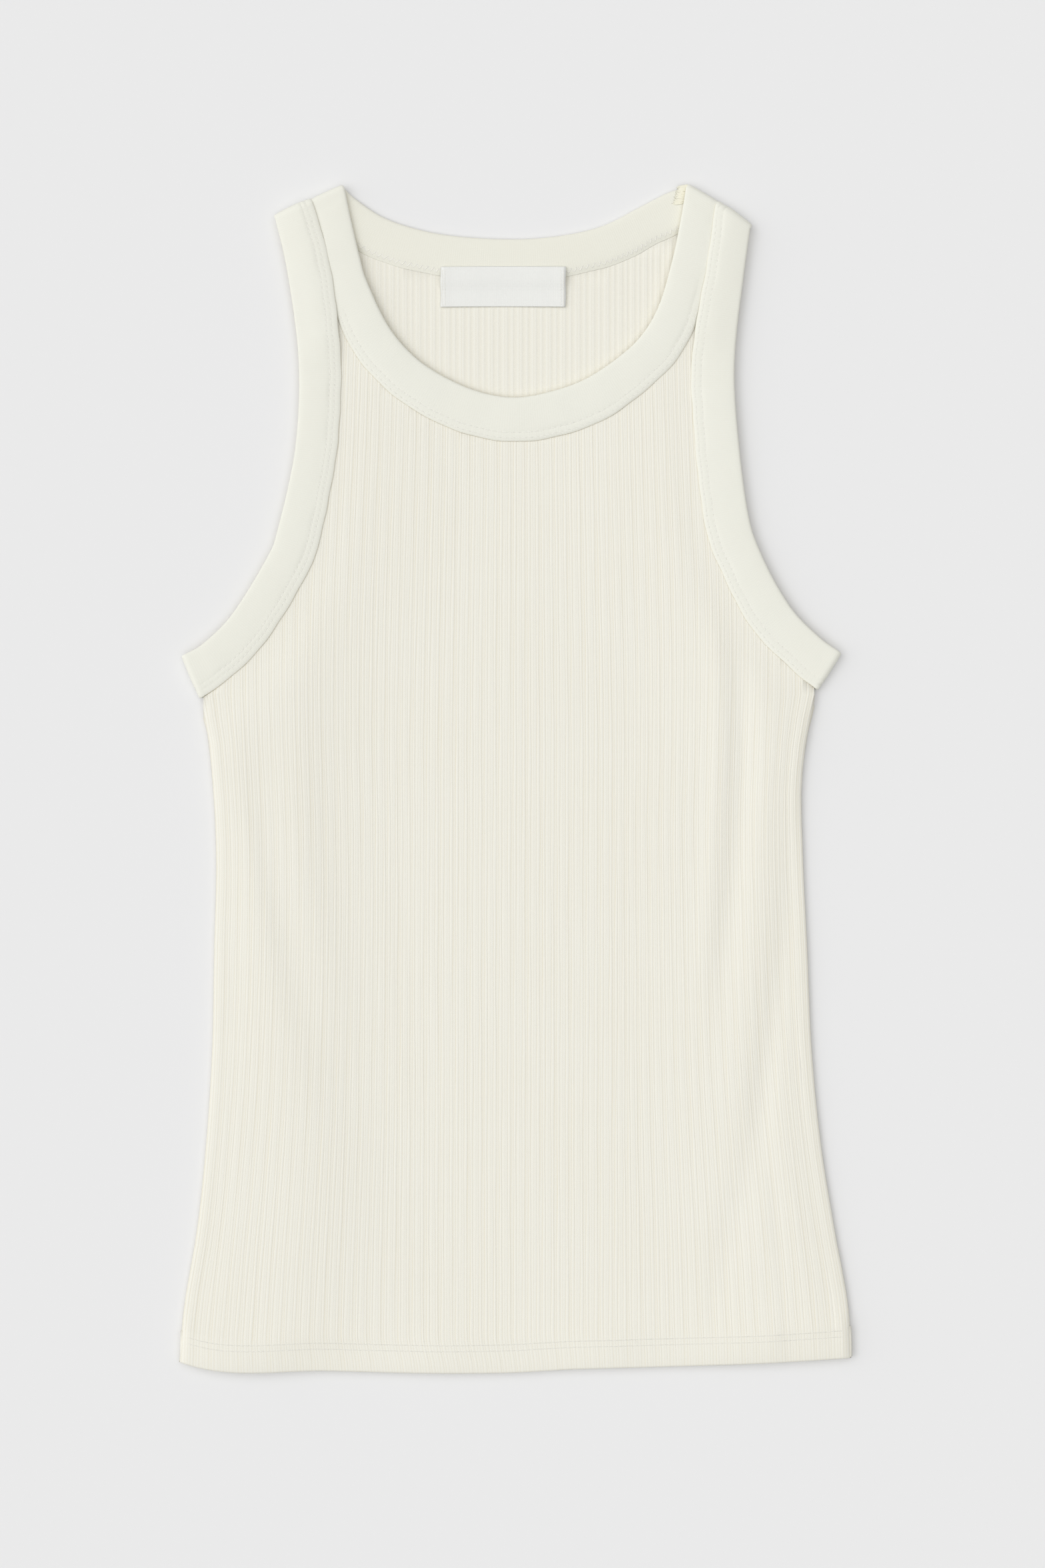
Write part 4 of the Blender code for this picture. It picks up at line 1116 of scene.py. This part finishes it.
def satin_finish(name, colour):
    """Bright satin: fine lines across the ribbon, which catch the light along it."""
    material, shader, start = plain_finish(name, colour, 0.5, 0.5)
    across, along, _ = place_in_cloth(start)
    here = start.node("ShaderNodeTexCoord", {}, {}, "Object")
    cloud = start.node("ShaderNodeTexNoise", {}, {"Vector": here, "Scale": 160.0, "Detail": 2.0})
    weave = start.maths("SINE", along * (2 * math.pi / 0.42)) * 0.6
    weave = weave + start.maths("SINE", across * (2 * math.pi / 0.9)) * 0.4
    bump = start.node("ShaderNodeBump", {}, {"Distance": 0.035 * MM, "Height": weave})
    start.tree.links.new(bump.output, shader.inputs["Normal"])
    rough = 0.34 + cloud * 0.22
    start.tree.links.new(rough.output, shader.inputs["Roughness"])
    shader.inputs["Sheen Weight"].default_value = 0.1
    return material


label_satin = satin_finish("label_satin", LABEL_WHITE)
dressed(label, label_satin)

LABEL_STITCH = 1.5
LABEL_SEAMS = (-36.4, -35.1, 22.9, 24.2)
ON_LABEL = 0.28  # the stitches lie on the folded ends
holes_y = np.arange(LABEL_ROWS[-1].y + 0.5, LABEL_ROWS[0].y - 0.5, LABEL_STITCH)
heights = np.interp(holes_y, rows[:, 0], rows[:, 1]) + ON_LABEL
lines = [np.column_stack([np.full(len(holes_y), seam_x), holes_y, heights]) for seam_x in LABEL_SEAMS]
label_stitches = sewn_threads("label_stitches", lines, width=0.24, thickness=0.16, dip=0.1)
dressed(label_stitches, thread)

# ---------------------------------------------------------------- inner sewing
# On the inside of the back the neck band's seam shows its looper thread, which runs to and fro over the
# band's edge. At the right shoulder the overlocked end of the seam peeps out.

LOOPER_EDGE = 23  # places in BACK_AROUND
LOOPER_TOP = 26
ON_BAND = np.array([0.0, 0.0, 0.05])
points, _ = band_sections(neck_back, math.pi)
low = points[::PARTS_OF_STITCH, LOOPER_EDGE] + ON_BAND
high = points[PARTS_OF_STITCH // 2 :: PARTS_OF_STITCH, LOOPER_TOP] + ON_BAND
count = min(len(low) - 1, len(high))
to_and_fro = np.stack([low[:count], high[:count]], axis=1).reshape(-1, 3)
lines = [np.concatenate([to_and_fro, low[count : count + 1]])]
looper = sewn_threads("looper_thread", lines, width=0.55, thickness=0.12, dip=0.02)
dressed(looper, thread)

OVERLOCK_YELLOW = (0.850, 0.828, 0.690)
OVERLOCK_LOOPS = 15
OVERLOCK_STEP = 0.62
OVERLOCK_WIDTH = 5.2
OVERLOCK_LAYERS = 5
OVERLOCK_START = (78.6, 286.9, 2.38)
overlock_thread = thread_finish("overlock_thread", OVERLOCK_YELLOW)
first_x, first_y, first_z = OVERLOCK_START
count = np.arange(2 * OVERLOCK_LOOPS)
lines = []
for layer in range(OVERLOCK_LAYERS):
    across = first_x + 0.09 * count + count % 2 * OVERLOCK_WIDTH
    across = across + 0.45 * np.sin(2.4 * count + layer) + 0.2 * layer
    along = first_y + count * OVERLOCK_STEP / 2 + 0.20 * layer + 0.25 * np.sin(1.7 * count + 2.0 * layer)
    height = first_z + 0.03 * layer + 0.03 * np.sin(1.1 * count + layer)
    lines.append(np.column_stack([across, along, height]))
overlock = sewn_threads("overlock_end", lines, width=0.80, thickness=0.14, dip=0.02)
dressed(overlock, overlock_thread)

# ---------------------------------------------------------------- floor, light and camera
# A pale matte floor, soft light from the upper left and a pale room around.

FRAME_HEIGHT = 784.0  # what the camera frames, at the height of the cloth
FRAME_X = 3.67
FRAME_Y = -2.83
CLOTH_HEIGHT = 3.0
LENS = 85.0
SENSOR = 36.0
FLOOR_SIZE = 6.0  # metres
FLOOR_DROP = 0.1
FLOOR_GREY = (0.812, 0.812, 0.812)
ROOM_LIGHT = 0.34

mesh = bmesh.new()
bmesh.ops.create_grid(mesh, x_segments=1, y_segments=1, size=FLOOR_SIZE / 2)
bmesh.ops.translate(mesh, vec=(0.0, 0.0, -FLOOR_DROP * MM), verts=mesh.verts)
floor = finished("floor", mesh)
floor.data.materials.append(plain_finish("pale_floor", FLOOR_GREY, 0.9, 0.1)[0])

world = bpy.data.worlds.new("pale_room")
world.use_nodes = True
background = world.node_tree.nodes["Background"].inputs
background["Color"].default_value = (1.0, 1.0, 1.0, 1.0)
background["Strength"].default_value = ROOM_LIGHT
bpy.context.scene.world = world

SoftLight = namedtuple("SoftLight", "name towards strength spread")
LIGHTS = (
    SoftLight("side_light", (1.0, -0.16, -0.62), 0.98, 62.0),
    SoftLight("ceiling_light", (0.12, -0.05, -1.0), 1.62, 100.0),
)
for soft in LIGHTS:
    light = bpy.data.lights.new(soft.name, "SUN")
    light.energy = soft.strength
    light.angle = math.radians(soft.spread)
    light_object = placed(soft.name, light)
    light_object.rotation_euler = Vector(soft.towards).to_track_quat("-Z", "Y").to_euler()

camera_data = bpy.data.cameras.new("camera")
camera_data.sensor_fit = "VERTICAL"
camera_data.sensor_height = SENSOR
camera_data.lens = LENS
camera = placed("camera", camera_data)
distance = FRAME_HEIGHT * LENS / SENSOR + CLOTH_HEIGHT
camera.location = (FRAME_X * MM, FRAME_Y * MM, distance * MM)
bpy.context.scene.camera = camera
bpy.context.scene.view_settings.view_transform = "Standard"
